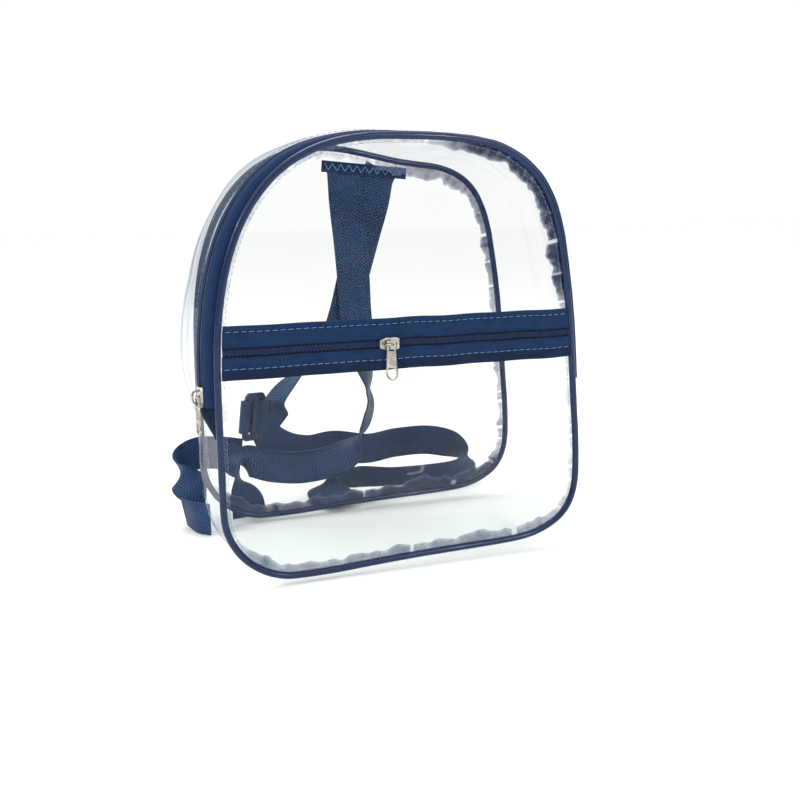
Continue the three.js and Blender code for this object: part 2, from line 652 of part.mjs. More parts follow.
// Pocket sheet: the outline below the lap line, with a flat margin and a full middle
function pocketGeometry() {
  const top = BAND_BOTTOM + POCKET_LAP;
  const inside = STATIONS.map((s) => onOutline(s, FRONT, EDGE_INSET)).filter((p) => p.z < top - 1);
  const right = inside.filter((p) => p.x > 0);
  const left = inside.filter((p) => p.x <= 0);
  const topPoints = [0, 0.2, 0.4, 0.6, 0.8, 1].map((share) => ({
    x: THREE.MathUtils.lerp(reachAt(top, 1), reachAt(top, -1), share),
    z: top,
  }));
  const outline = [...right, ...topPoints, ...left];
  const halfHeight = (top - PIPING_HEIGHT) / 2;
  const margin = 1 - (POCKET_LAP + 4) / halfHeight;
  const rings = [1, margin, margin * 0.72, margin * 0.4];
  const fullness = (share) => (share >= margin ? 0 : 1 - (share / margin) ** 2);
  return sheetGeometry(outline, rings, (share) => POCKET_SHEET_Y - POCKET_BULGE * fullness(share), SHEET);
}

// Solid of a closed geometry, its corners welded, for joining and cutting
function toSolid(geometry) {
  const source = geometry.index ? geometry.toNonIndexed() : geometry;
  const position = source.getAttribute('position');
  const seen = new Map();
  const vertices = [];
  const corners = [];
  for (let i = 0; i < position.count; i += 1) {
    const key = [position.getX(i), position.getY(i), position.getZ(i)].map((v) => Math.round(v * 1e4)).join();
    if (!seen.has(key)) {
      seen.set(key, vertices.length / 3);
      vertices.push(position.getX(i), position.getY(i), position.getZ(i));
    }
    corners.push(seen.get(key));
  }
  const triVerts = [];
  for (let t = 0; t < corners.length; t += 3) {
    const [a, b, c] = corners.slice(t, t + 3);
    if (a !== b && b !== c && c !== a) triVerts.push(a, b, c);
  }
  return new wasm.Manifold(
    new wasm.Mesh({
      numProp: 3,
      vertProperties: new Float32Array(vertices),
      triVerts: new Uint32Array(triVerts),
    }),
  );
}

function fromSolid(solid) {
  const mesh = solid.getMesh();
  const geometry = new THREE.BufferGeometry();
  geometry.setAttribute('position', new THREE.Float32BufferAttribute(mesh.vertProperties, 3));
  geometry.setIndex(Array.from(mesh.triVerts));
  geometry.computeVertexNormals();
  return geometry;
}

// Slider in its own frame: X along the zip, Y across it, Z out from the tape's middle
const SLIDER_CLEAR = COIL_HEIGHT / 2 + GAP; // inside of the plate above the coil's middle
const SLIDER_TOP = SLIDER_CLEAR + SLIDER_PLATE;
const BRIDGE_OUT = SLIDER_TOP + BRIDGE_RISE;
const HINGE_OUT = SLIDER_TOP + Math.hypot(PULL, PULL_BAR) / 2 + GAP;

function sliderGeometry() {
  const half = SLIDER_LENGTH / 2;
  const wide = SLIDER_WIDTH / 2;
  const nose = wide * SLIDER_NOSE;
  const plan = new THREE.Shape([
    new THREE.Vector2(-half, -nose),
    new THREE.Vector2(-half * 0.45, -wide),
    new THREE.Vector2(half * 0.7, -wide),
    new THREE.Vector2(half, -wide * 0.8),
    new THREE.Vector2(half, wide * 0.8),
    new THREE.Vector2(half * 0.7, wide),
    new THREE.Vector2(-half * 0.45, wide),
    new THREE.Vector2(-half, nose),
  ]);
  const bottom = CLOTH / 2 + GAP;
  const body = new THREE.ExtrudeGeometry(plan, { depth: SLIDER_TOP - bottom, bevelEnabled: false });
  body.translate(0, 0, bottom);
  const channelHalf = COIL_WIDTH / 2 + GAP;
  const channel = new THREE.BoxGeometry(2 * SLIDER_LENGTH, 2 * channelHalf, 2 * SLIDER_CLEAR);
  const shell = toSolid(body).subtract(toSolid(channel));
  const legs = BRIDGE_SPAN / 2;
  const path = new THREE.CatmullRomCurve3([
    new THREE.Vector3(-legs, 0, SLIDER_TOP - BRIDGE_BAR / 2),
    new THREE.Vector3(-legs, 0, SLIDER_TOP + BRIDGE_RISE * 0.6),
    new THREE.Vector3(-legs * 0.6, 0, BRIDGE_OUT - BRIDGE_RISE * 0.04),
    new THREE.Vector3(0, 0, BRIDGE_OUT),
    new THREE.Vector3(legs * 0.6, 0, BRIDGE_OUT - BRIDGE_RISE * 0.04),
    new THREE.Vector3(legs, 0, SLIDER_TOP + BRIDGE_RISE * 0.6),
    new THREE.Vector3(legs, 0, SLIDER_TOP - BRIDGE_BAR / 2),
  ]);
  const section = new THREE.Shape();
  section.absellipse(0, 0, BRIDGE_BAR / 2, BRIDGE_BAR / 2, 0, Math.PI * 2);
  const bridge = new THREE.ExtrudeGeometry(section, { steps: 12, curveSegments: 3, extrudePath: path });
  return fromSolid(shell.add(toSolid(bridge)));
}

// Pull in its own frame: it hangs along -X from a bar on the Y axis, flat in the X-Y plane
function pullGeometry() {
  const eyeWide = PULL_EYE_WIDTH / 2;
  const shoulder = eyeWide + PULL_BAR;
  const lengthBelow = PULL_LENGTH - PULL_BAR / 2;
  const place = (row, side) => new THREE.Vector2(-row.down * lengthBelow, side * row.wide * PULL_WIDTH);
  const loop = (rows, side) => {
    const back = rows.map((row) => place(row, -side)).reverse();
    return rows.map((row) => place(row, side)).concat(back);
  };
  const outline = new THREE.Shape([
    new THREE.Vector2(PULL_BAR / 2, shoulder),
    new THREE.Vector2(-PULL_EYE_LENGTH - PULL_BAR / 2, shoulder),
    ...loop(PULL_ROWS, 1),
    new THREE.Vector2(-PULL_EYE_LENGTH - PULL_BAR / 2, -shoulder),
    new THREE.Vector2(PULL_BAR / 2, -shoulder),
  ]);
  const eye = new THREE.Path([
    new THREE.Vector2(-PULL_BAR / 2, -eyeWide),
    new THREE.Vector2(-PULL_EYE_LENGTH, -eyeWide),
    new THREE.Vector2(-PULL_EYE_LENGTH, eyeWide),
    new THREE.Vector2(-PULL_BAR / 2, eyeWide),
  ]);
  outline.holes.push(eye, new THREE.Path(loop(RING_ROWS, -1)));
  const geometry = new THREE.ExtrudeGeometry(outline, { depth: PULL, bevelEnabled: false });
  geometry.translate(0, 0, -PULL / 2);
  return geometry;
}

// Frame on the main zip at a station on the left: along is up, across follows the wall
function mainZipFrame(station, out) {
  const across = wallPoint(station, ZIP_DEPTH + 1, 0)
    .sub(wallPoint(station, ZIP_DEPTH - 1, 0))
    .setZ(0)
    .normalize();
  const along = new THREE.Vector3(0, 0, 1);
  const away = new THREE.Vector3().crossVectors(along, across);
  const place = zipPoint(station, ZIP_DEPTH, coilOut(station)).addScaledVector(away, out);
  return frameMatrix(along, across, away, place);
}

// Frame from three directions, so that a part made in its own frame can be stood in place
function frameMatrix(along, across, out, origin) {
  return new THREE.Matrix4().makeBasis(along, across, out).setPosition(origin);
}

// Webbing: a ribbon along a route, its width lying as the route says
function routePoint(row) {
  return {
    place: new THREE.Vector3(
      row.across * PATTERN.halfWidth,
      HALF_DEPTH + row.behind * BAG_DEPTH,
      row.up * PATTERN.height,
    ),
    width: new THREE.Vector3(row.wx, row.wy, row.wz).normalize(),
  };
}

// Smooth run of sections through a route's bends
function smoothRun(bends) {
  const curve = new THREE.CatmullRomCurve3(bends.map((n) => n.place), false, 'centripetal');
  const sections = [];
  bends.forEach((bend, k) => {
    if (k === 0) {
      sections.push(bend);
      return;
    }
    const before = bends[k - 1];
    const pieces = Math.max(1, Math.round(bend.place.distanceTo(before.place) / WEBBING_STEP));
    for (let j = 1; j <= pieces; j += 1) {
      const share = j / pieces;
      sections.push({
        place: curve.getPoint((k - 1 + share) / (bends.length - 1)),
        width: before.width.clone().lerp(bend.width, share),
        tangent: j === pieces ? bend.tangent : undefined,
      });
    }
  });
  return sections;
}

function ribbonGeometry(sections, width, thickness) {
  const rings = sections.map((section, k) => {
    const before = sections[Math.max(k - 1, 0)].place;
    const after = sections[Math.min(k + 1, sections.length - 1)].place;
    const tangent = new THREE.Vector3().subVectors(after, before).normalize();
    if (section.tangent) tangent.copy(section.tangent);
    const across = section.width.clone().addScaledVector(tangent, -section.width.dot(tangent)).normalize();
    const normal = new THREE.Vector3().crossVectors(tangent, across).normalize();
    return [[-1, -1], [1, -1], [1, 1], [-1, 1]].map(([w, n]) =>
      section.place
        .clone()
        .addScaledVector(across, (w * width) / 2)
        .addScaledVector(normal, (n * thickness) / 2),
    );
  });
  for (const ring of rings) for (const p of ring) p.z = Math.max(p.z, 0);
  return bodyFromRings(rings, false);
}

// Three-bar adjuster in its own frame: X across the bars, Y along them, Z through the plate
function glideGeometry() {
  const halfX = GLIDE_WIDTH / 2;
  const halfY = GLIDE_LENGTH / 2;
  const cut = GLIDE_RIM;
  const outline = new THREE.Shape([
    new THREE.Vector2(halfX, -halfY + cut),
    new THREE.Vector2(halfX, halfY - cut),
    new THREE.Vector2(halfX - cut, halfY),
    new THREE.Vector2(-halfX + cut, halfY),
    new THREE.Vector2(-halfX, halfY - cut),
    new THREE.Vector2(-halfX, -halfY + cut),
    new THREE.Vector2(-halfX + cut, -halfY),
    new THREE.Vector2(halfX - cut, -halfY),
  ]);
  const plate = new THREE.ExtrudeGeometry(outline, { depth: GLIDE, bevelEnabled: false });
  plate.translate(0, 0, -GLIDE / 2);
  const slotWide = (GLIDE_WIDTH - GLIDE_BAR) / 2 - GLIDE_RIM;
  const slots = [-1, 1].map((side) => {
    const slot = new THREE.BoxGeometry(slotWide, WEBBING_WIDTH + 2, 2 * GLIDE);
    slot.translate((side * (GLIDE_BAR + slotWide)) / 2, 0, 0);
    return toSolid(slot);
  });
  return fromSolid(toSolid(plate).subtract(slots[0]).subtract(slots[1]));
}

// Webbing laced through an adjuster that stands at origin with its plate facing out.
// travel is the way the webbing runs through it.
const LACE = GLIDE / 2 + WEBBING / 2 + GAP;

function lacedSections(glide, offsets) {
  return offsets.map(([along, out]) => ({
    place: glide.origin.clone().addScaledVector(glide.travel, along).addScaledVector(glide.out, out),
    width: glide.bars.clone(),
  }));
}

// Panels and pipings
addMesh('front_piping', pipingGeometry(FRONT, 1), navyVinyl);
addMesh('back_piping', pipingGeometry(BACK, -1), navyVinyl);
const frontOutline = STATIONS.map((s) => onOutline(s, FRONT, EDGE_INSET));
const backOutline = STATIONS.map((s) => onOutline(s, BACK, EDGE_INSET));
addMesh('front_panel', sheetGeometry(frontOutline, [1, 0.5], () => -HALF_DEPTH, SHEET), clearSheet);
const marginInset = 1 - (FLANGE_WIDTH + GAP) / PATTERN.halfWidth;
const backCrown = (share) => (share >= marginInset ? 0 : BACK_CROWN * (1 - (share / marginInset) ** 2));
addMesh(
  'back_panel',
  sheetGeometry(backOutline, [1, marginInset, 0.5], (share) => HALF_DEPTH + backCrown(share), SHEET),
  clearSheet,
);
addMesh('side_wall', sideWallGeometry(), clearSheet);
addMesh('pocket_panel', pocketGeometry(), clearSheet);

// Pocket zip
addMesh('pocket_band_upper', bandGeometry(BAND_TOP, UPPER_BAND), navyCloth);
addMesh('pocket_band_lower', bandGeometry(BAND_BOTTOM + LOWER_BAND, LOWER_BAND), navyCloth);
addMesh('pocket_coil', pocketCoilGeometry(), coilNylon);

// Main zip
addMesh('main_tape_front', zipStripGeometry(ZIP_STATIONS, frontTapePath, CLOTH), navyCloth);
addMesh('main_tape_rear', zipStripGeometry(ZIP_STATIONS, rearTapePath, CLOTH), navyCloth);
addMesh('main_coil', coilGeometry(), coilNylon);
addMesh('zip_end_right', endTabGeometry(1), navyCloth);
addMesh('zip_end_left', endTabGeometry(-1), navyCloth);

// Sliders with their pulls, both hanging straight down. The pocket's lies across its slider, so
// it hangs from the bridge's bar, turned so that one arm of its eye passes behind the bar.
const pocketSliderPlace = new THREE.Vector3(POCKET_SLIDER_AT * PATTERN.halfWidth, BAND_Y, POCKET_COIL_Z);
const pocketFrame = frameMatrix(
  new THREE.Vector3(1, 0, 0),
  new THREE.Vector3(0, 0, 1),
  new THREE.Vector3(0, -1, 0),
  pocketSliderPlace,
);
addMesh('pocket_slider', sliderGeometry(), nickel).applyMatrix4(pocketFrame);
const overBar = (BRIDGE_BAR + PULL_BAR) / 2 + GAP;
const pocketPullFrame = frameMatrix(
  new THREE.Vector3(0, 0, 1),
  new THREE.Vector3(-Math.cos(PULL_TURN), Math.sin(PULL_TURN), 0),
  new THREE.Vector3(-Math.sin(PULL_TURN), -Math.cos(PULL_TURN), 0),
  pocketSliderPlace.clone().add(new THREE.Vector3(0, -BRIDGE_OUT, overBar)),
);
addMesh('pocket_pull', pullGeometry(), nickel).applyMatrix4(pocketPullFrame);

const mainStation = ROUND.at(ZIP_FINISH - MAIN_SLIDER_UP - SLIDER_LENGTH / 2);
addMesh('main_slider', sliderGeometry(), nickel).applyMatrix4(mainZipFrame(mainStation, 0));
addMesh('main_pull', pullGeometry(), nickel).applyMatrix4(mainZipFrame(mainStation, HINGE_OUT));

// Left strap: from the top, through its adjuster and on as a loose tail
const leftGlide = {
  origin: routePoint({ across: -0.61, behind: 0.215, up: 0.28, wx: 0, wy: 0, wz: 1 }).place,
  travel: new THREE.Vector3(-0.75, -0.5, 0.1).normalize(),
  bars: new THREE.Vector3(0.1, 0, 0.99).normalize(),
};
leftGlide.bars.addScaledVector(leftGlide.travel, -leftGlide.bars.dot(leftGlide.travel)).normalize();
leftGlide.out = new THREE.Vector3().crossVectors(leftGlide.bars, leftGlide.travel).normalize();
const returnOut = -(LACE + WEBBING + 2 * GAP);
const slotNear = GLIDE_BAR / 2 + GAP * 2;
const slotFar = GLIDE_WIDTH / 2 - GLIDE_RIM - GAP * 2;
const lace = lacedSections(leftGlide, [
  [-GLIDE_WIDTH / 2 - WEBBING_STEP / 2, LACE + WEBBING],
  [-GLIDE_WIDTH / 2, LACE],
  [-slotFar, LACE],
  [-slotNear, -LACE],
  [slotNear, -LACE],
  [slotFar, LACE],
  [GLIDE_WIDTH / 2 + GAP * 2, LACE],
  [GLIDE_WIDTH / 2 + WEBBING + GAP * 2, (LACE + returnOut) / 2],
  [GLIDE_WIDTH / 2 + GAP * 2, returnOut],
  [-GLIDE_WIDTH / 2, returnOut],
]);
lace[0].tangent = leftGlide.travel;
lace[lace.length - 1].tangent = leftGlide.travel.clone().negate();
const leftRun = smoothRun([...LEFT_UPPER_ROUTE.map(routePoint), lace[0]])
  .concat(lace.slice(1, -1))
  .concat(smoothRun([lace[lace.length - 1], ...LEFT_TAIL_ROUTE.map(routePoint)]));
addMesh('shoulder_strap_left', ribbonGeometry(leftRun, WEBBING_WIDTH, WEBBING), webbing);
addMesh('adjuster_left', glideGeometry(), darkPlastic).applyMatrix4(
  frameMatrix(leftGlide.travel, leftGlide.bars.clone().negate(), leftGlide.out, leftGlide.origin),
);

// Right strap, and the ring and tab at the bottom left corner
function addStrap(name, route, width, thickness) {
  addMesh(name, ribbonGeometry(smoothRun(route.map(routePoint)), width, thickness), webbing);
}
addStrap('shoulder_strap_right', RIGHT_ROUTE, WEBBING_WIDTH, WEBBING);
addStrap('corner_ring_left', RING_ROUTE, WEBBING_WIDTH, WEBBING);
addStrap('corner_tab_left', TAB_ROUTE, WEBBING_WIDTH * 0.95, WEBBING);
addStrap('top_anchor', ANCHOR_ROUTE, ANCHOR_WIDTH, ANCHOR);

export default group;
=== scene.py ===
"""Clear PVC backpack with navy piping, zips and webbing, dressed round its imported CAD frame."""
import logging
import math
from dataclasses import dataclass
from enum import Enum
from typing import Callable, Optional, Sequence

import bpy
import numpy as np
from mathutils import Matrix, Vector


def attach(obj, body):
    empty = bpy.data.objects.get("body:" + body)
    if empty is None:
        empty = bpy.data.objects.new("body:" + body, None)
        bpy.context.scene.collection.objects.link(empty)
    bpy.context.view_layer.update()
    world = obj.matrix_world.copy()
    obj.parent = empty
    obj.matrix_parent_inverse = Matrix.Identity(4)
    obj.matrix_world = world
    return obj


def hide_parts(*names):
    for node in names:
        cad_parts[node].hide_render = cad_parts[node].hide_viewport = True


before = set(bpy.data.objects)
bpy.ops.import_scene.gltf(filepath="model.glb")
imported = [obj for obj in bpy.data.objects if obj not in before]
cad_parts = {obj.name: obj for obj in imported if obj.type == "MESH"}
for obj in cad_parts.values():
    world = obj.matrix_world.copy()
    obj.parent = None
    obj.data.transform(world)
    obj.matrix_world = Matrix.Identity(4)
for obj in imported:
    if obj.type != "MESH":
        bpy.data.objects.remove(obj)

log = logging.getLogger("backpack")

MM = 0.001
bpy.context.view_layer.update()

# Driving sizes of the bag, in millimetres, as in the part's source
DEPTH = 131.0
HALF_DEPTH = DEPTH / 2
HALF_WIDTH = 134.0
HEIGHT = 299.0
BEAD = 2.5
BEAD_HEIGHT = 5.5
GAP = 0.3
CLOTH = 1.0
SHEET = 0.8
SIDE_BULGE = 10.0
BASE_BULGE = 11.0
ZIP_LIFT_SIDE = 7.2
ZIP_LIFT_TOP = 4.6
ZIP_END_HEIGHT = 129.0
ZIP_DEPTH = 12.5
COIL_WIDTH = 4.6
COIL_HEIGHT = 2.2
REAR_TAPE = 9.0
TAPE_LAP = 6.0
END_TAB = 28.0
BAND_TOP = 184.2
UPPER_BAND = 15.0
LOWER_BAND = 15.9
COIL_ROW = COIL_WIDTH + 2 * GAP
BAND_BOTTOM = BAND_TOP - UPPER_BAND - COIL_ROW - LOWER_BAND
POCKET_TEETH = BAND_TOP - UPPER_BAND - COIL_ROW / 2
POCKET_LAP = 8.0
POCKET_BULGE = 8.0
BACK_CROWN = 4.0
WEBBING_WIDTH = 28.0
WEBBING = 1.5
EDGE_INSET = -(BEAD + GAP + 0.1)
POCKET_LEVEL = -HALF_DEPTH - SHEET - GAP
BAND_LEVEL = POCKET_LEVEL - SHEET / 2 - GAP - CLOTH / 2
TAPE_UNDER_WALL = GAP + CLOTH / 2
WALL_BESIDE_ZIP = ZIP_DEPTH + COIL_WIDTH / 2 + GAP + REAR_TAPE - TAPE_LAP

# Pattern of the two panels: share of the half width, share of the height
PATTERN_ROWS = (
    (0, 0.0087), (0.234, 0.0112), (0.4, 0.0121), (0.541, 0.0134), (0.64, 0.0155), (0.73, 0.0208),
    (0.794, 0.0288), (0.858, 0.0414), (0.909, 0.0562), (0.947, 0.0731), (0.979, 0.0965),
    (1.001, 0.126), (1.01, 0.157), (1.0105, 0.2), (1.004, 0.262), (0.986, 0.35), (0.968, 0.44),
    (0.945, 0.55), (0.92, 0.635), (0.894, 0.705), (0.864, 0.775), (0.823, 0.835), (0.772, 0.881),
    (0.712, 0.916), (0.625, 0.9485), (0.51, 0.9755), (0.37, 0.991), (0.19, 0.9985), (0, 1),
    (-0.19, 0.9983), (-0.321, 0.9909), (-0.452, 0.9756), (-0.571, 0.9512), (-0.668, 0.9207),
    (-0.76, 0.878), (-0.849, 0.817), (-0.907, 0.756), (-0.946, 0.695), (-0.972, 0.634),
    (-0.988, 0.573), (-0.996, 0.512), (-1, 0.43), (-1, 0.3), (-1, 0.17), (-0.993, 0.137),
    (-0.971, 0.105), (-0.935, 0.075), (-0.889, 0.0498), (-0.8325, 0.0291), (-0.765, 0.013),
    (-0.686, 0.0026), (-0.6, 0.0001), (-0.5, 0), (-0.4, 0.0009), (-0.3, 0.003), (-0.2, 0.0053),
    (-0.1, 0.0072),
)

# Routes of the webbing: share of the half width, of the depth behind the back bead and of the
# height, then the way that its width lies
ANCHOR_ROUTE = (
    (-0.18, 0.019, 0.965, 0, 0, 1),
    (0.35, 0.019, 0.945, 0, 0, 1),
)
LEFT_UPPER_ROUTE = (
    (0.175, 0.048, 0.935, 1, 0, -0.16),
    (0.15, 0.066, 0.87, 1, 0, -0.1),
    (0.09, 0.085, 0.77, 1, 0.05, 0.05),
    (0.02, 0.095, 0.66, 1, 0.1, 0.1),
    (-0.06, 0.105, 0.55, 1, 0.3, 0.2),
    (-0.2, 0.13, 0.45, 0.8, 0.7, 0.1),
    (-0.33, 0.2, 0.385, 0.4, 0.9, 0.35),
    (-0.44, 0.27, 0.325, 0.2, 0.6, 0.75),
)
LEFT_TAIL_ROUTE = (
    (-0.5, 0.33, 0.205, 0.35, 0.15, 1),
    (-0.37, 0.355, 0.162, 0.25, 0.2, 1),
    (-0.22, 0.36, 0.146, 0, 0.2, 1),
    (-0.06, 0.365, 0.152, 0, 0.15, 1),
    (0.2, 0.41, 0.128, 0, 0, 1),
    (0.42, 0.44, 0.134, 0, 0, 1),
    (0.68, 0.44, 0.13, -0.1, 0, 1),
    (0.85, 0.41, 0.105, -0.4, -0.1, 0.9),
    (0.93, 0.345, 0.068, -0.6, -0.2, 0.75),
    (0.83, 0.295, 0.047, -0.3, -0.45, 0.8),
    (0.55, 0.285, 0.044, 0, -0.6, 0.8),
    (0.3, 0.285, 0.048, 0, -0.6, 0.8),
    (0.08, 0.285, 0.058, 0, -0.5, 0.85),
    (-0.1, 0.275, 0.055, 0, -0.7, 0.6),
    (-0.19, 0.225, 0.05, 0.3, -0.8, 0.3),
    (-0.17, 0.16, 0.045, 0.9, -0.4, 0.2),
    (-0.11, 0.1, 0.036, 1, 0, 0.1),
    (-0.08, 0.06, 0.03, 1, 0, 0.05),
    (-0.075, 0.036, 0.028, 1, 0, 0),
)
RIGHT_ROUTE = (
    (-0.04, 0.031, 0.945, 1, 0, -0.08),
    (-0.03, 0.038, 0.87, 1, 0, 0),
    (-0.005, 0.048, 0.77, 1, 0, 0),
    (0.015, 0.052, 0.66, 1, 0, 0),
    (0.03, 0.057, 0.55, 1, 0.05, 0),
    (0.075, 0.08, 0.46, 0.9, 0.4, 0),
    (0.13, 0.13, 0.37, 0.5, 0.85, 0),
    (0.135, 0.155, 0.325, 0.33, 0.93, 0),
    (0.145, 0.18, 0.275, 0.55, 0.75, 0.2),
    (0.1, 0.2, 0.205, 0.6, 0.4, 0.6),
    (-0.02, 0.205, 0.142, 0.3, 0.4, 0.85),
    (-0.28, 0.22, 0.116, 0, 0.3, 0.95),
    (-0.5, 0.225, 0.128, 0, 0.3, 0.95),
    (-0.655, 0.21, 0.152, -0.1, 0.4, 0.9),
    (-0.73, 0.18, 0.15, -0.2, 0.9, 0.3),
    (-0.735, 0.12, 0.125, 0.1, 1, -0.2),
    (-0.72, 0.075, 0.09, 0.75, 0.6, 0),
    (-0.7, 0.045, 0.055, 1, 0.1, 0),
    (-0.695, 0.0275, 0.015, 1, 0, -0.08),
)
RING_ROUTE = (
    (-0.69, 0.27, 0.165, 0.1, 0.3, 0.95),
    (-0.84, 0.275, 0.178, 0, 0.1, 1),
    (-0.98, 0.255, 0.183, -0.1, 0, 1),
    (-1.07, 0.195, 0.165, -0.2, 0.1, 0.95),
    (-1.08, 0.12, 0.135, 0.1, 0.4, 0.85),
    (-1.03, 0.06, 0.115, 0.1, 0.4, 0.85),
    (-0.95, 0.0275, 0.11, 0, 0, 1),
)
TAB_ROUTE = (
    (-1.0868, 0.048, 0.048, -0.28, 0.1, 0.95),
    (-1.03, -0.07, 0.046, -0.1, 0.1, 1),
    (-0.96, -0.14, 0.046, 0, 0, 1),
)


class Body(Enum):
    """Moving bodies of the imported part."""

    BAG = "bag"
    POCKET_PULL = "pocket_pull_body"
    MAIN_PULL = "main_pull_body"


class Slot(Enum):
    """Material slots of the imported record."""

    CLEAR_VINYL = "clear_vinyl"
    NAVY_PIPING = "navy_piping"
    NAVY_CLOTH = "navy_cloth"
    ZIP_COIL = "zip_coil"
    NICKEL = "nickel"
    WEBBING = "webbing"
    DARK_PLASTIC = "dark_plastic"


class Side(Enum):
    """Side of the bag as its wearer's front view has it."""

    RIGHT = 1
    LEFT = -1


# Shapes in millimetres


def centripetal_curve(points: np.ndarray, closed: bool, per_bend: int) -> np.ndarray:
    """Smooth run of points through bends, spaced by the square root of their distance.

    Args:
        points: The bends, one row each.
        closed: Whether the run comes back to its first bend.
        per_bend: Points made from each bend to the next.

    Returns:
        The points, one row each; an open run keeps its last bend.
    """
    count = len(points)
    made = []
    for i in range(count if closed else count - 1):
        if closed:
            quad = [points[(i + k) % count] for k in (-1, 0, 1, 2)]
        else:
            before = points[i - 1] if i > 0 else 2 * points[0] - points[1]
            after = points[i + 2] if i + 2 < count else 2 * points[-1] - points[-2]
            quad = [before, points[i], points[i + 1], after]
        steps = [max(np.linalg.norm(quad[k + 1] - quad[k]), 1e-9) ** 0.5 for k in range(3)]
        slope_a = (quad[1] - quad[0]) / steps[0] - (quad[2] - quad[0]) / (steps[0] + steps[1])
        slope_a = (slope_a + (quad[2] - quad[1]) / steps[1]) * steps[1]
        slope_b = (quad[2] - quad[1]) / steps[1] - (quad[3] - quad[1]) / (steps[1] + steps[2])
        slope_b = (slope_b + (quad[3] - quad[2]) / steps[2]) * steps[1]
        share = (np.arange(per_bend) / per_bend)[:, None]
        cube = 2 * (quad[1] - quad[2]) + slope_a + slope_b
        square = -3 * quad[1] + 3 * quad[2] - 2 * slope_a - slope_b
        made.append(quad[1] + share * (slope_a + share * (square + share * cube)))
    if not closed:
        made.append(points[-1:])
    return np.concatenate(made)


def smooth_step(share: np.ndarray) -> np.ndarray:
    """Eased share from 0 to 1, clamped at both ends."""
    held = np.clip(share, 0, 1)
    return held * held * (3 - 2 * held)


def ripple(seed: int, *axes: np.ndarray, waves: int = 6, scale: float = 1.0) -> np.ndarray:
    """Soft unevenness, a seeded sum of sine waves over some axes.

    Args:
        seed: Seed of the wave table.
        axes: Coordinates in millimetres, all of one shape.
        waves: How many waves are added up.
        scale: Middle wavelength in millimetres.

    Returns:
        Values of about -1 to 1.
    """
    draw = np.random.default_rng(seed)
    total = np.zeros_like(axes[0], dtype=float)
    for _ in range(waves):
        way = draw.normal(size=len(axes))
        way /= np.linalg.norm(way)
        length = scale * draw.uniform(0.6, 1.7)
        phase = draw.uniform(0, 2 * math.pi)
        travel = sum(w * a for w, a in zip(way, axes))
        total += np.sin(travel * 2 * math.pi / length + phase)
    return total / waves ** 0.5 / 1.4


@dataclass(frozen=True)
class Shape:
    """How one panel's outline departs from the pattern, in millimetres."""

    shift: float = 0.0
    sag: float = 0.0
    sag_at: float = 0.0
    sag_spread: float = 50.0


FRONT = Shape()
BACK = Shape(shift=4.5, sag=12.0, sag_at=46.0, sag_spread=52.0)


@dataclass(frozen=True)
class Fold:
    """A dent or swell of the side wall; up and back are shares of the height and the depth."""

    side: Side
    up: float
    back: float
    out: float
    tall: float
    deep: float


SIDE_FOLDS = (
    Fold(Side.LEFT, 0.52, 0.5, 0.4, 0.13, 0.35),
    Fold(Side.LEFT, 0.36, 0.6, -0.3, 0.1, 0.3),
    Fold(Side.RIGHT, 0.62, 0.5, 0.25, 0.16, 0.35),
    Fold(Side.RIGHT, 0.3, 0.45, -0.25, 0.12, 0.3),
)


@dataclass
class Stations:
    """Places round the pattern: x, z, the outward normal and the distance round."""

    x: np.ndarray
    z: np.ndarray
    nx: np.ndarray
    nz: np.ndarray
    distance: np.ndarray


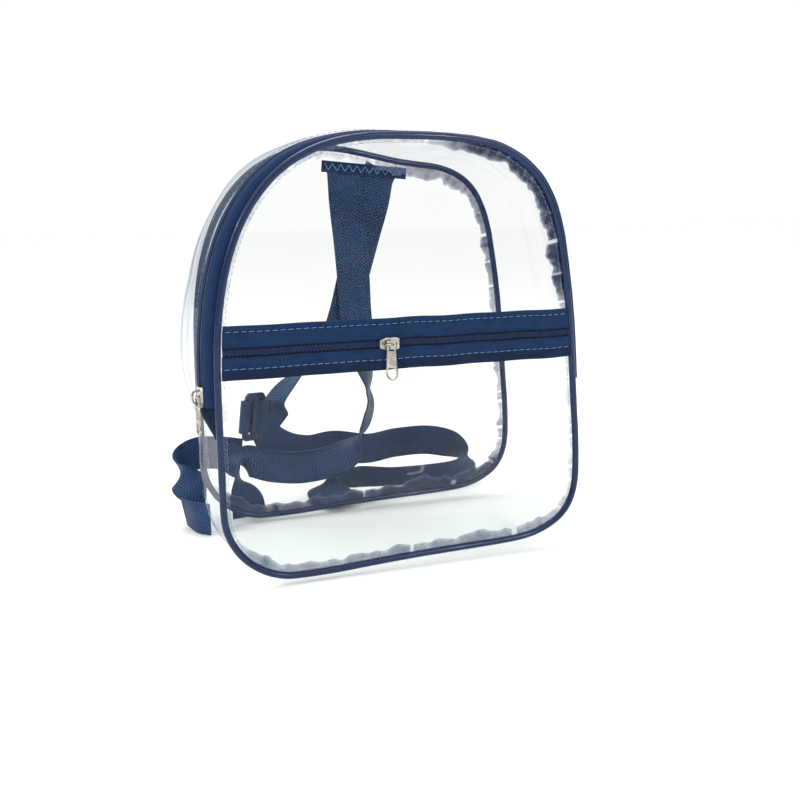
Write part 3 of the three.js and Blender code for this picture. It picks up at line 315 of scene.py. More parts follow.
class Outline:
    """The bag's body: its pattern and the side wall between the two panels."""

    def __init__(self) -> None:
        """Lays the pattern out and finds the ends of the main zip."""
        rows = np.array(PATTERN_ROWS) * (HALF_WIDTH, HEIGHT)
        self.loop = centripetal_curve(rows, True, 24)
        ahead = np.roll(self.loop, -1, axis=0)
        steps = np.linalg.norm(ahead - self.loop, axis=1)
        self.run = np.concatenate([[0], np.cumsum(steps)])
        self.length = float(self.run[-1])
        tangent = ahead - np.roll(self.loop, 1, axis=0)
        kernel = np.hanning(15)
        for axis in range(2):
            padded = np.concatenate([tangent[-7:, axis], tangent[:, axis], tangent[:7, axis]])
            tangent[:, axis] = np.convolve(padded, kernel, "valid")
        self.tangent = tangent / np.linalg.norm(tangent, axis=1)[:, None]
        self.zip_start = self.distance_to_height(ZIP_END_HEIGHT - BEAD_HEIGHT, Side.RIGHT)
        self.zip_finish = self.distance_to_height(ZIP_END_HEIGHT - BEAD_HEIGHT, Side.LEFT)

    def stations(self, distance: np.ndarray) -> Stations:
        """Stations at distances round the pattern.

        Args:
            distance: Millimetres from the middle of the base, round by the right.

        Returns:
            The stations.
        """
        wrapped = np.mod(distance, self.length)
        closed = np.concatenate([self.loop, self.loop[:1]])
        slopes = np.concatenate([self.tangent, self.tangent[:1]])
        x, z = (np.interp(wrapped, self.run, closed[:, k]) for k in range(2))
        tx, tz = (np.interp(wrapped, self.run, slopes[:, k]) for k in range(2))
        size = np.hypot(tx, tz)
        return Stations(x, z, tz / size, -tx / size, np.asarray(wrapped))

    def around(self, count: int) -> Stations:
        """Evenly spaced stations all the way round."""
        return self.stations(np.arange(count) * self.length / count)

    def between(self, start: float, end: float, step: float) -> Stations:
        """Stations from one distance to another, about a step apart."""
        count = max(2, int(abs(end - start) / step) + 1)
        return self.stations(np.linspace(start, end, count))

    def distance_to_height(self, height: float, side: Side) -> float:
        """Distance round the pattern to a height above its base.

        Args:
            height: Millimetres above the pattern's base.
            side: Side on which the height is reached.

        Returns:
            Millimetres from the middle of the base, round by the right.
        """
        low, high = 0.0, 0.5
        for _ in range(40):
            middle = (low + high) / 2
            share = middle if side is Side.RIGHT else 1 - middle
            if np.interp(share * self.length, self.run[:-1], self.loop[:, 1]) < height:
                low = middle
            else:
                high = middle
        return (low if side is Side.RIGHT else 1 - low) * self.length

    def on_outline(self, at: Stations, shape: Shape, out: np.ndarray) -> tuple[np.ndarray, np.ndarray]:
        """Place of stations on one panel's outline, moved outward.

        Args:
            at: The stations.
            shape: The panel's shape.
            out: Millimetres outward, one for each station or one for all.

        Returns:
            The x and z of each, in the part's frame.
        """
        drop = shape.sag * np.exp(-(((at.x - shape.sag_at) / shape.sag_spread) ** 2))
        arch = np.clip((at.z / HEIGHT - 0.6) / 0.4, 0, 1)
        x = at.x + shape.shift + at.nx * out
        z = at.z + BEAD_HEIGHT - drop * arch + at.nz * out
        return x, z

    def zip_nearness(self, at: Stations) -> np.ndarray:
        """1 along the teeth, falling to 0 where the end tabs come to a point."""
        outside = np.maximum(self.zip_start - at.distance, at.distance - self.zip_finish)
        return smooth_step(1 - np.maximum(outside, 0) / END_TAB)

    def wall_rise(self, at: Stations, back: np.ndarray) -> np.ndarray:
        """How far the side wall stands out from the line between the two beads.

        Args:
            at: The stations.
            back: Share of the depth, from the front bead.

        Returns:
            Millimetres outward.
        """
        side = np.abs(at.nx)
        lift = self.zip_nearness(at) * (ZIP_LIFT_TOP + (ZIP_LIFT_SIDE - ZIP_LIFT_TOP) * side)
        bulge = SIDE_BULGE * side * (0.5 + 0.5 * np.clip(at.z / (0.45 * HEIGHT), 0, 1))
        for fold in SIDE_FOLDS:
            up = (at.z / HEIGHT - fold.up) / fold.tall
            deep = (back - fold.back) / fold.deep
            on_side = fold.side.value * at.nx > 0
            bulge = bulge + on_side * SIDE_BULGE * side * fold.out * np.exp(-up * up - deep * deep)
        bulge = bulge + BASE_BULGE * np.maximum(0, -at.nz) ** 2
        return lift * (1 - back) + bulge * np.sin(math.pi * np.clip(back, 0, 1))

    def between_beads(self, at: Stations, y: np.ndarray, out: np.ndarray) -> np.ndarray:
        """Points out from the straight line between the beads.

        Args:
            at: The stations.
            y: Millimetres behind the front bead.
            out: Millimetres outward.

        Returns:
            One row of x, y and z for each station.
        """
        back = y / DEPTH
        front_x, front_z = self.on_outline(at, FRONT, out)
        rear_x, rear_z = self.on_outline(at, BACK, out)
        x = front_x + (rear_x - front_x) * back
        z = front_z + (rear_z - front_z) * back
        return np.stack([x, y - HALF_DEPTH + 0 * x, z], axis=-1)

    def wall_point(self, at: Stations, y: np.ndarray, out: np.ndarray) -> np.ndarray:
        """Point of the side wall, out from its inner face."""
        return self.between_beads(at, y, self.wall_rise(at, y / DEPTH) + out)


# Meshes


def finish_mesh(name: str, points: np.ndarray, faces: list, uvs: Optional[np.ndarray]) -> bpy.types.Object:
    """Smooth-shaded object from points in millimetres.

    Args:
        name: Name of the piece.
        points: One row for each vertex.
        faces: Vertex indices of each face.
        uvs: One row for each vertex, in metres along the cloth, or None.

    Returns:
        The object, linked to the scene.
    """
    mesh = bpy.data.meshes.new(name)
    mesh.from_pydata((np.asarray(points) * MM).tolist(), [], faces)
    if uvs is not None:
        layer = mesh.uv_layers.new(name="cloth")
        index = np.zeros(len(mesh.loops), np.int32)
        mesh.loops.foreach_get("vertex_index", index)
        layer.data.foreach_set("uv", np.asarray(uvs, np.float32)[index].ravel())
    mesh.polygons.foreach_set("use_smooth", [True] * len(mesh.polygons))
    mesh.update()
    piece = bpy.data.objects.new(name, mesh)
    bpy.context.scene.collection.objects.link(piece)
    return piece


def grid_faces(rows: int, columns: int, wrap_rows: bool, wrap_columns: bool, start: int = 0) -> list:
    """Quads of a grid of points.

    Args:
        rows: Count of rows.
        columns: Count of points in a row.
        wrap_rows: Whether the last row joins the first.
        wrap_columns: Whether the last column joins the first.
        start: Number of the grid's first vertex.

    Returns:
        Four vertex numbers for each face.
    """
    faces = []
    for r in range(rows if wrap_rows else rows - 1):
        below, above = start + r * columns, start + ((r + 1) % rows) * columns
        for c in range(columns if wrap_columns else columns - 1):
            d = (c + 1) % columns
            faces.append((below + c, above + c, above + d, below + d))
    return faces


def lengths_along(points: np.ndarray, axis: int) -> np.ndarray:
    """Running length along one direction of a grid of points.

    Args:
        points: Rows by columns by three, in millimetres.
        axis: 0 along the rows' order, 1 along the columns'.

    Returns:
        Metres from the start, for each point.
    """
    steps = np.linalg.norm(np.diff(points, axis=axis), axis=-1)
    total = np.cumsum(steps, axis=axis)
    pad = [(0, 0), (0, 0)]
    pad[axis] = (1, 0)
    return np.pad(total, pad) * MM


def grid_piece(name: str, points: np.ndarray, wrap_rows: bool = False, wrap_columns: bool = False,
               capped: bool = False) -> bpy.types.Object:
    """Piece from a grid of points, with its lengths along the cloth as coordinates.

    Args:
        name: Name of the piece.
        points: Rows by columns by three, in millimetres.
        wrap_rows: Whether the last row joins the first.
        wrap_columns: Whether the last column joins the first.
        capped: Whether the open ends of a tube are closed.

    Returns:
        The object.
    """
    rows, columns = points.shape[:2]
    faces = grid_faces(rows, columns, wrap_rows, wrap_columns)
    if capped:
        faces.append(tuple(range(columns)))
        faces.append(tuple((rows - 1) * columns + c for c in reversed(range(columns))))
    uvs = np.stack([lengths_along(points, 0), lengths_along(points, 1)], axis=-1)
    return finish_mesh(name, points.reshape(-1, 3), faces, uvs.reshape(-1, 2))


def add_attribute(piece: bpy.types.Object, name: str, values: np.ndarray) -> None:
    """Stores one number for each vertex, for the finish to read."""
    layer = piece.data.attributes.new(name, "FLOAT", "POINT")
    layer.data.foreach_set("value", np.asarray(values, np.float32).ravel())


def rounded_section(width: float, thickness: float, sides: int = 4, across: int = 6) -> np.ndarray:
    """Section of a strap, flat with half-round edges.

    Args:
        width: Whole width in millimetres.
        thickness: Thickness in millimetres.
        sides: Steps round each edge.
        across: Points on each flat face.

    Returns:
        Points across and out, going round once.
    """
    radius = thickness / 2
    half = width / 2 - radius
    turns = np.linspace(0, math.pi, sides + 1)
    right = [(half + radius * math.sin(a), -radius * math.cos(a)) for a in turns]
    left = [(-w, -t) for w, t in right]
    top = [(w, radius) for w in np.linspace(half, -half, across + 2)[1:-1]]
    bottom = [(w, -radius) for w in np.linspace(-half, half, across + 2)[1:-1]]
    return np.array(right + top + left + bottom)


def sweep(places: np.ndarray, widths: np.ndarray, section: np.ndarray,
          tangents: Optional[np.ndarray] = None) -> np.ndarray:
    """Grid of points of a section carried along a run.

    Args:
        places: Middle of each section.
        widths: Way that the section's width lies at each place.
        section: Points of the section: across, then out.
        tangents: Way that the run goes at each place; found from the places if None.

    Returns:
        Sections by points by three.
    """
    if tangents is None:
        tangents = np.gradient(places, axis=0)
    tangents = tangents / np.linalg.norm(tangents, axis=1)[:, None]
    across = widths - (widths * tangents).sum(1)[:, None] * tangents
    across /= np.linalg.norm(across, axis=1)[:, None]
    out = np.cross(tangents, across)
    return (places[:, None] + section[None, :, :1] * across[:, None] + section[None, :, 1:] * out[:, None])


def many_rods(name: str, starts: np.ndarray, ends: np.ndarray, lift: np.ndarray, radius: float,
              flat: float = 1.0, sides: int = 6) -> bpy.types.Object:
    """Piece of many short rods with rounded ends, such as stitches or teeth.

    Args:
        name: Name of the piece.
        starts: First end of each rod.
        ends: Second end of each rod.
        lift: Outward way at each rod.
        radius: Radius of the rods.
        flat: Radius along lift as a share of the radius.
        sides: Sides of each rod.

    Returns:
        The object.
    """
    along = ends - starts
    size = np.linalg.norm(along, axis=1)[:, None]
    along = along / size
    side = np.cross(along, lift)
    side /= np.linalg.norm(side, axis=1)[:, None]
    out = np.cross(side, along)
    profile = [(0.0, 0.35), (0.5 * radius, 0.9), (1.2 * radius, 1.0)]
    profile += [(-p, r) for p, r in reversed(profile)]
    angles = np.arange(sides) * 2 * math.pi / sides
    rings = []
    for k, (push, share) in enumerate(profile):
        base = starts if k < 3 else ends
        centre = base + along * push
        ring = (centre[:, None] + share * radius * np.cos(angles)[None, :, None] * side[:, None]
                + share * radius * flat * np.sin(angles)[None, :, None] * out[:, None])
        rings.append(ring)
    points = np.stack(rings, axis=1)
    per = len(profile) * sides
    faces = []
    for rod in range(len(starts)):
        faces += grid_faces(len(profile), sides, False, True, rod * per)
        faces.append(tuple(rod * per + k for k in range(sides)))
        faces.append(tuple(rod * per + per - 1 - k for k in range(sides)))
    uvs = np.tile(np.linspace(0, 0.01, per)[:, None], (len(starts), 2))
    return finish_mesh(name, points.reshape(-1, 3), faces, uvs)


# Finishes


def linear(code: str) -> tuple[float, float, float, float]:
    """Linear colour of an sRGB hex code.

    Args:
        code: Such as #16305a.

    Returns:
        Red, green, blue and 1.
    """
    shares = [int(code[k:k + 2], 16) / 255 for k in (1, 3, 5)]
    red, green, blue = [s / 12.92 if s <= 0.04045 else ((s + 0.055) / 1.055) ** 2.4 for s in shares]
    return red, green, blue, 1.0


def add_node(tree: bpy.types.NodeTree, kind: str, settings: Optional[dict] = None,
             links: Optional[dict] = None) -> bpy.types.Node:
    """Adds a node, sets it up and links its inputs.

    Args:
        tree: Node tree that it goes into.
        kind: Blender's name of the node's type.
        settings: Its own settings, and input values by socket name or number.
        links: Output sockets, by the name or number of the input that each feeds.

    Returns:
        The node.
    """
    node = tree.nodes.new(kind)
    for key, value in (settings or {}).items():
        if isinstance(key, str) and hasattr(node, key):
            setattr(node, key, value)
        else:
            node.inputs[key].default_value = value
    for key, socket in (links or {}).items():
        tree.links.new(socket, node.inputs[key])
    return node


def noise_scale(size: float) -> float:
    """Scale of a noise whose grains are about size millimetres."""
    return 1 / (size * MM)


def wave_scale(period: float) -> float:
    """Scale of a wave texture whose bands repeat every period millimetres."""
    return 2 * math.pi / (20 * period * MM)


@dataclass(frozen=True)
class Finish:
    """What every finish has: its name and the record's slot that it stands for."""

    name: str
    slot: Slot

    def material(self) -> bpy.types.Material:
        """The finish's material, made on its first use."""
        return bpy.data.materials.get(self.name) or self.make()

    def make(self) -> bpy.types.Material:
        """Makes the material.

        Returns:
            A material whose nodes end in the finish's shader.
        """
        material = bpy.data.materials.new(self.name)
        material.use_nodes = True
        tree = material.node_tree
        tree.nodes.clear()
        add_node(tree, "ShaderNodeOutputMaterial", links={"Surface": self.shade(tree)})
        return material

    def shade(self, tree: bpy.types.NodeTree) -> bpy.types.NodeSocket:
        """Builds the nodes and gives the shader's output; each finish has its own."""
        raise NotImplementedError

    def dress(self, piece: bpy.types.Object) -> None:
        """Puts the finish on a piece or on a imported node.

        Args:
            piece: The piece or node.
        """
        if piece.material_slots:
            piece.material_slots[0].material = self.material()
        else:
            piece.data.materials.append(self.material())


@dataclass(frozen=True)
class CalenderedVinyl(Finish):
    """Clear plasticised PVC sheet, rolled between polished cylinders.

    That gives it a hard wet gloss, a faint cool grey tint that deepens where the eye looks
    along the sheet, and long shallow waves that break its highlights into streaks.
    """

    tint: str = "#fbfcfb"
    edge_tint: str = "#dbe1e8"
    ior: float = 1.53
    gloss: float = 0.14
    haze: float = 0.002
    roughness: float = 0.05
    wave: float = 21.0

    def shade(self, tree: bpy.types.NodeTree) -> bpy.types.NodeSocket:
        """Builds the film.

        Args:
            tree: The material's node tree.

        Returns:
            The mixed shader's output.
        """
        place = add_node(tree, "ShaderNodeTexCoord").outputs["Object"]
        long_wave = add_node(tree, "ShaderNodeTexNoise", {
            "Scale": noise_scale(self.wave), "Detail": 1.5, "Roughness": 0.45, "Distortion": 0.6,
        }, {"Vector": place})
        bump = add_node(tree, "ShaderNodeBump", {"Strength": 0.5, "Distance": 0.9 * MM},
                        {"Height": long_wave.outputs["Fac"]})
        facing = add_node(tree, "ShaderNodeLayerWeight", {"Blend": 0.35})
        deepened = add_node(tree, "ShaderNodeMath", {"operation": "POWER", 1: 2.2},
                            {0: facing.outputs["Facing"]})
        colour = add_node(tree, "ShaderNodeMix", {
            "data_type": "RGBA", 6: linear(self.tint), 7: linear(self.edge_tint),
        }, {0: deepened.outputs[0]})
        through = add_node(tree, "ShaderNodeBsdfTransparent", links={"Color": colour.outputs[2]})
        # The light thrown back at the surface is a mirror's, with a little scattered by haze
        back = add_node(tree, "ShaderNodeBsdfPrincipled", {
            "Base Color": linear("#f4f7fb"), "Metallic": 0.8, "Roughness": self.roughness,
            "IOR": self.ior,
        }, {"Normal": bump.outputs["Normal"]})
        fresnel = add_node(tree, "ShaderNodeFresnel", {"IOR": self.ior},
                           {"Normal": bump.outputs["Normal"]})
        share = add_node(tree, "ShaderNodeMath", {
            "operation": "MULTIPLY_ADD", 1: self.gloss, 2: self.haze, "use_clamp": True,
        }, {0: fresnel.outputs[0]})
        mixed = add_node(tree, "ShaderNodeMixShader", links={
            0: share.outputs[0], 1: through.outputs[0], 2: back.outputs[0],
        })
        return mixed.outputs[0]


@dataclass(frozen=True)
class ExtrudedVinyl(Finish):
    """Soft navy PVC drawn over a cord, with a satin skin.

    That gives one long soft highlight, slight swells over the cord's lay, and a thin coat of
    gloss with fine handling marks in it.
    """

    colour: str = "#041a3c"
    pale: str = "#0a2c58"
    roughness: float = 0.27
    lay: float = 3.2

    def shade(self, tree: bpy.types.NodeTree) -> bpy.types.NodeSocket:
        """Builds the coated cord.

        Args:
            tree: The material's node tree.

        Returns:
            The shader's output.
        """
        place = add_node(tree, "ShaderNodeTexCoord").outputs["Object"]
        swell = add_node(tree, "ShaderNodeTexNoise", {"Scale": noise_scale(self.lay), "Detail": 2.0},
                         {"Vector": place})
        marks = add_node(tree, "ShaderNodeTexNoise", {"Scale": noise_scale(0.7), "Detail": 4.0},
                         {"Vector": place})
        patch = add_node(tree, "ShaderNodeTexNoise", {"Scale": noise_scale(34), "Detail": 3.0},
                         {"Vector": place})
        colour = add_node(tree, "ShaderNodeMix", {
            "data_type": "RGBA", 6: linear(self.colour), 7: linear(self.pale),
        }, {0: patch.outputs["Fac"]})
        rough = add_node(tree, "ShaderNodeMapRange", {
            "From Min": 0.3, "From Max": 0.7,
            "To Min": self.roughness - 0.06, "To Max": self.roughness + 0.1,
        }, {"Value": marks.outputs["Fac"]})
        bump = add_node(tree, "ShaderNodeBump", {"Strength": 0.35, "Distance": 0.25 * MM},
                        {"Height": swell.outputs["Fac"]})
        fine = add_node(tree, "ShaderNodeBump", {"Strength": 0.2, "Distance": 0.05 * MM},
                        {"Height": marks.outputs["Fac"], "Normal": bump.outputs["Normal"]})
        skin = add_node(tree, "ShaderNodeBsdfPrincipled", {
            "IOR": 1.53, "Specular IOR Level": 0.3, "Coat Weight": 0.12, "Coat Roughness": 0.08,
        }, {
            "Base Color": colour.outputs[2], "Roughness": rough.outputs[0], "Normal": fine.outputs["Normal"],
        })
        return skin.outputs[0]


@dataclass(frozen=True)
class SeamFilm(Finish):
    """Seam allowance of the navy vinyl, seen through the clear sheet that is sewn to it.

    Where it lies close to the sheet it reads as dark navy; where air has got between them it
    turns a pale lavender grey, and in small gaps it isn't seen at all.
    """

    dark: str = "#0b1d42"
    pale: str = "#8d9cc6"

    def shade(self, tree: bpy.types.NodeTree) -> bpy.types.NodeSocket:
        """Builds the seam allowance, which reads its cover from the mesh.

        Args:
            tree: The material's node tree.

        Returns:
            The mixed shader's output.
        """
        cover = add_node(tree, "ShaderNodeAttribute", {"attribute_name": "cover"}).outputs["Fac"]
        place = add_node(tree, "ShaderNodeTexCoord").outputs["Object"]
        mottle = add_node(tree, "ShaderNodeTexNoise", {"Scale": noise_scale(5), "Detail": 3.0},
                          {"Vector": place})
        uneven = add_node(tree, "ShaderNodeMath", {"operation": "MULTIPLY_ADD", 1: 0.5, 2: -0.25},
                          {0: mottle.outputs["Fac"]})
        amount = add_node(tree, "ShaderNodeMath", {"operation": "ADD", "use_clamp": True},
                          {0: cover, 1: uneven.outputs[0]})
        colour = add_node(tree, "ShaderNodeMix", {
            "data_type": "RGBA", 6: linear(self.pale), 7: linear(self.dark),
        }, {0: amount.outputs[0]})
        bump = add_node(tree, "ShaderNodeBump", {"Strength": 0.4, "Distance": 0.3 * MM},
                        {"Height": mottle.outputs["Fac"]})
        skin = add_node(tree, "ShaderNodeBsdfPrincipled", {"IOR": 1.53, "Roughness": 0.3}, {
            "Base Color": colour.outputs[2], "Normal": bump.outputs["Normal"],
        })
        through = add_node(tree, "ShaderNodeBsdfTransparent")
        mixed = add_node(tree, "ShaderNodeMixShader", links={
            0: amount.outputs[0], 1: through.outputs[0], 2: skin.outputs[0],
        })
        return mixed.outputs[0]


@dataclass(frozen=True)
class WovenTape(Finish):
    """Navy polyester tape, woven tight in a plain weave and dyed in the piece.

    That gives a dull cloth with a soft sheen at its edges and fine ribs across it; the ribs are
    painted shade, the cloth painted darker where the threads dip. The real threads are 0.3 mm
    apart, too fine for the render, so the ribs are drawn three times as coarse.
    """

    colour: str = "#174579"
    shadow: str = "#07162f"
    rib: float = 0.9
    roughness: float = 0.72

    def shade(self, tree: bpy.types.NodeTree) -> bpy.types.NodeSocket:
        """Builds the cloth, which reads from the mesh how much darker to paint it, as painted shade or
        darker tone.

        Args:
            tree: The material's node tree.

        Returns:
            The shader's output.
        """
        shade = add_node(tree, "ShaderNodeAttribute", {"attribute_name": "shade"}).outputs["Fac"]
        cloth = add_node(tree, "ShaderNodeUVMap", {"uv_map": "cloth"}).outputs["UV"]
        place = add_node(tree, "ShaderNodeTexCoord").outputs["Object"]
        warp = add_node(tree, "ShaderNodeTexWave", {
            "bands_direction": "X", "Scale": wave_scale(self.rib), "Distortion": 0.6, "Detail": 1.0,
        }, {"Vector": cloth})
        weft = add_node(tree, "ShaderNodeTexWave", {
            "bands_direction": "Y", "Scale": wave_scale(self.rib), "Distortion": 0.6, "Detail": 1.0,
        }, {"Vector": cloth})
        weave = add_node(tree, "ShaderNodeMath", {"operation": "MULTIPLY"},
                         {0: warp.outputs["Fac"], 1: weft.outputs["Fac"]})
        patch = add_node(tree, "ShaderNodeTexNoise", {"Scale": noise_scale(7), "Detail": 4.0},
                         {"Vector": place})
        # Painted shade: the weave paints the cloth towards its dark shadow colour where the threads dip
        light = add_node(tree, "ShaderNodeMapRange", {
            "From Min": 0.0, "From Max": 1.0, "To Min": 0.25, "To Max": 1.0,
        }, {"Value": weave.outputs[0]})
        uneven = add_node(tree, "ShaderNodeMath", {"operation": "MULTIPLY_ADD", 1: 0.6, 2: 0.5},
                          {0: patch.outputs["Fac"]})
        lit = add_node(tree, "ShaderNodeMath", {"operation": "MULTIPLY", "use_clamp": True},
                       {0: light.outputs[0], 1: uneven.outputs[0]})
        # Painted shade from the mesh: pits under the hem, beside the teeth and the cord under the teeth; the
        # same value also darkens the binding and the zip's end cloth
        kept = add_node(tree, "ShaderNodeMath", {"operation": "SUBTRACT", "use_clamp": True},
                        {0: lit.outputs[0], 1: shade})
        colour = add_node(tree, "ShaderNodeMix", {
            "data_type": "RGBA", 6: linear(self.shadow), 7: linear(self.colour),
        }, {0: kept.outputs[0]})
        bump = add_node(tree, "ShaderNodeBump", {"Strength": 0.6, "Distance": 0.12 * MM},
                        {"Height": weave.outputs[0]})
        skin = add_node(tree, "ShaderNodeBsdfPrincipled", {
            "Roughness": self.roughness, "Specular IOR Level": 0.2, "Sheen Weight": 0.06,
            "Sheen Roughness": 0.4, "Sheen Tint": linear("#8fa8d8"),
        }, {"Base Color": colour.outputs[2], "Normal": bump.outputs["Normal"]})
        return skin.outputs[0]


@dataclass(frozen=True)
class TwillWebbing(Finish):
    """Navy polypropylene webbing, flat filament yarn in a coarse twill.

    That gives rows of small dots where each yarn crosses over, 2.2 mm apart on the slant, each
    painted lighter as a painted highlight, with painted shade in the pits between them and a
    broad satin gleam from the slippery yarn.
    """

    colour: str = "#143a68"
    dot_highlight: str = "#3b659b"
    pit: str = "#081a35"
    yarn: float = 2.2
    roughness: float = 0.5

    def shade(self, tree: bpy.types.NodeTree) -> bpy.types.NodeSocket:
        """Builds the webbing.

        Args:
            tree: The material's node tree.

        Returns:
            The shader's output.
        """
        cloth = add_node(tree, "ShaderNodeUVMap", {"uv_map": "cloth"}).outputs["UV"]
        place = add_node(tree, "ShaderNodeTexCoord").outputs["Object"]
        slants = []
        for turn in (math.radians(38), math.radians(-38)):
            turned = add_node(tree, "ShaderNodeVectorRotate", {"rotation_type": "Z_AXIS", "Angle": turn},
                              {"Vector": cloth})
            slants.append(add_node(tree, "ShaderNodeTexWave", {
                "bands_direction": "X", "Scale": wave_scale(self.yarn), "Distortion": 0.3, "Detail": 1.0,
            }, {"Vector": turned.outputs[0]}))
        dots = add_node(tree, "ShaderNodeMath", {"operation": "MULTIPLY"},
                        {0: slants[0].outputs["Fac"], 1: slants[1].outputs["Fac"]})
        patch = add_node(tree, "ShaderNodeTexNoise", {"Scale": noise_scale(12), "Detail": 3.0},
                         {"Vector": place})
        base = add_node(tree, "ShaderNodeMix", {
            "data_type": "RGBA", 6: linear(self.pit), 7: linear(self.colour),
        }, {0: patch.outputs["Fac"]})
        height = add_node(tree, "ShaderNodeMapRange", {
            "From Min": 0.35, "From Max": 0.95, "To Min": 0.0, "To Max": 0.85,
        }, {"Value": dots.outputs[0]})
        # Painted highlight on the raised yarn crossings; the low places between them keep the darker base as
        # painted shade
        colour = add_node(tree, "ShaderNodeMix", {"data_type": "RGBA", 7: linear(self.dot_highlight)},
                          {0: height.outputs[0], 6: base.outputs[2]})
        bump = add_node(tree, "ShaderNodeBump", {"Strength": 0.7, "Distance": 0.35 * MM},
                        {"Height": dots.outputs[0]})
        skin = add_node(tree, "ShaderNodeBsdfPrincipled", {
            "Roughness": self.roughness, "Specular IOR Level": 0.3, "Sheen Weight": 0.04,
            "Sheen Roughness": 0.35,
        }, {"Base Color": colour.outputs[2], "Normal": bump.outputs["Normal"]})
        return skin.outputs[0]


@dataclass(frozen=True)
class SpunThread(Finish):
    """Blue polyester sewing thread, two-ply and slightly fluffy."""

    colour: str = "#6f95c2"
    ply: float = 0.5

    def shade(self, tree: bpy.types.NodeTree) -> bpy.types.NodeSocket:
        """Builds the thread.

        Args:
            tree: The material's node tree.

        Returns:
            The shader's output.
        """
        place = add_node(tree, "ShaderNodeTexCoord").outputs["Object"]
        twist = add_node(tree, "ShaderNodeTexWave", {
            "bands_direction": "DIAGONAL", "Scale": wave_scale(self.ply), "Distortion": 0.5,
        }, {"Vector": place})
        # Painted shade: the thread is darker along the diagonal grooves between its plies
        colour = add_node(tree, "ShaderNodeMix", {
            "data_type": "RGBA", 6: linear("#587db0"), 7: linear(self.colour),
        }, {0: twist.outputs["Fac"]})
        bump = add_node(tree, "ShaderNodeBump", {"Strength": 0.4, "Distance": 0.1 * MM},
                        {"Height": twist.outputs["Fac"]})
        skin = add_node(tree, "ShaderNodeBsdfPrincipled", {"Roughness": 0.55, "Sheen Weight": 0.2},
                        {"Base Color": colour.outputs[2], "Normal": bump.outputs["Normal"]})
        return skin.outputs[0]


@dataclass(frozen=True)
class NylonCoil(Finish):
    """Dark nylon monofilament wound into a zip's coil, smooth and a little waxy."""

    colour: str = "#0e1a36"
    pale: str = "#2b4677"
    roughness: float = 0.4

    def shade(self, tree: bpy.types.NodeTree) -> bpy.types.NodeSocket:
        """Builds the nylon.

        Args:
            tree: The material's node tree.

        Returns:
            The shader's output.
        """
        place = add_node(tree, "ShaderNodeTexCoord").outputs["Object"]
        wear = add_node(tree, "ShaderNodeTexNoise", {"Scale": noise_scale(2.5), "Detail": 2.0},
                        {"Vector": place})
        colour = add_node(tree, "ShaderNodeMix", {
            "data_type": "RGBA", 6: linear(self.colour), 7: linear(self.pale),
        }, {0: wear.outputs["Fac"]})
        rough = add_node(tree, "ShaderNodeMapRange", {
            "To Min": self.roughness - 0.05, "To Max": self.roughness + 0.15,
        }, {"Value": wear.outputs["Fac"]})
        bump = add_node(tree, "ShaderNodeBump", {"Strength": 0.15, "Distance": 0.05 * MM},
                        {"Height": wear.outputs["Fac"]})
        skin = add_node(tree, "ShaderNodeBsdfPrincipled", {"IOR": 1.53, "Specular IOR Level": 0.35}, {
            "Base Color": colour.outputs[2], "Roughness": rough.outputs[0], "Normal": bump.outputs["Normal"],
        })
        return skin.outputs[0]


@dataclass(frozen=True)
class NickelPlate(Finish):
    """Die-cast zinc, tumbled and nickel plated.

    That gives a warm silver with soft edges, faint orange peel from the tumbling and dull
    patches where fingers and cloth have rubbed it.
    """

    colour: str = "#c9c6bd"
    dull: str = "#8f8c84"
    roughness: float = 0.2

    def shade(self, tree: bpy.types.NodeTree) -> bpy.types.NodeSocket:
        """Builds the plating.

        Args:
            tree: The material's node tree.

        Returns:
            The shader's output.
        """
        place = add_node(tree, "ShaderNodeTexCoord").outputs["Object"]
        peel = add_node(tree, "ShaderNodeTexNoise", {"Scale": noise_scale(0.8), "Detail": 3.0},
                        {"Vector": place})
        rub = add_node(tree, "ShaderNodeTexNoise", {"Scale": noise_scale(4), "Detail": 4.0},
                       {"Vector": place})
        colour = add_node(tree, "ShaderNodeMix", {
            "data_type": "RGBA", 6: linear(self.colour), 7: linear(self.dull),
        }, {0: rub.outputs["Fac"]})
        rough = add_node(tree, "ShaderNodeMapRange", {
            "From Min": 0.3, "From Max": 0.7,
            "To Min": self.roughness - 0.06, "To Max": self.roughness + 0.14,
        }, {"Value": rub.outputs["Fac"]})
        bump = add_node(tree, "ShaderNodeBump", {"Strength": 0.25, "Distance": 0.06 * MM},
                        {"Height": peel.outputs["Fac"]})
        skin = add_node(tree, "ShaderNodeBsdfPrincipled", {"Metallic": 1.0}, {
            "Base Color": colour.outputs[2], "Roughness": rough.outputs[0], "Normal": bump.outputs["Normal"],
        })
        return skin.outputs[0]


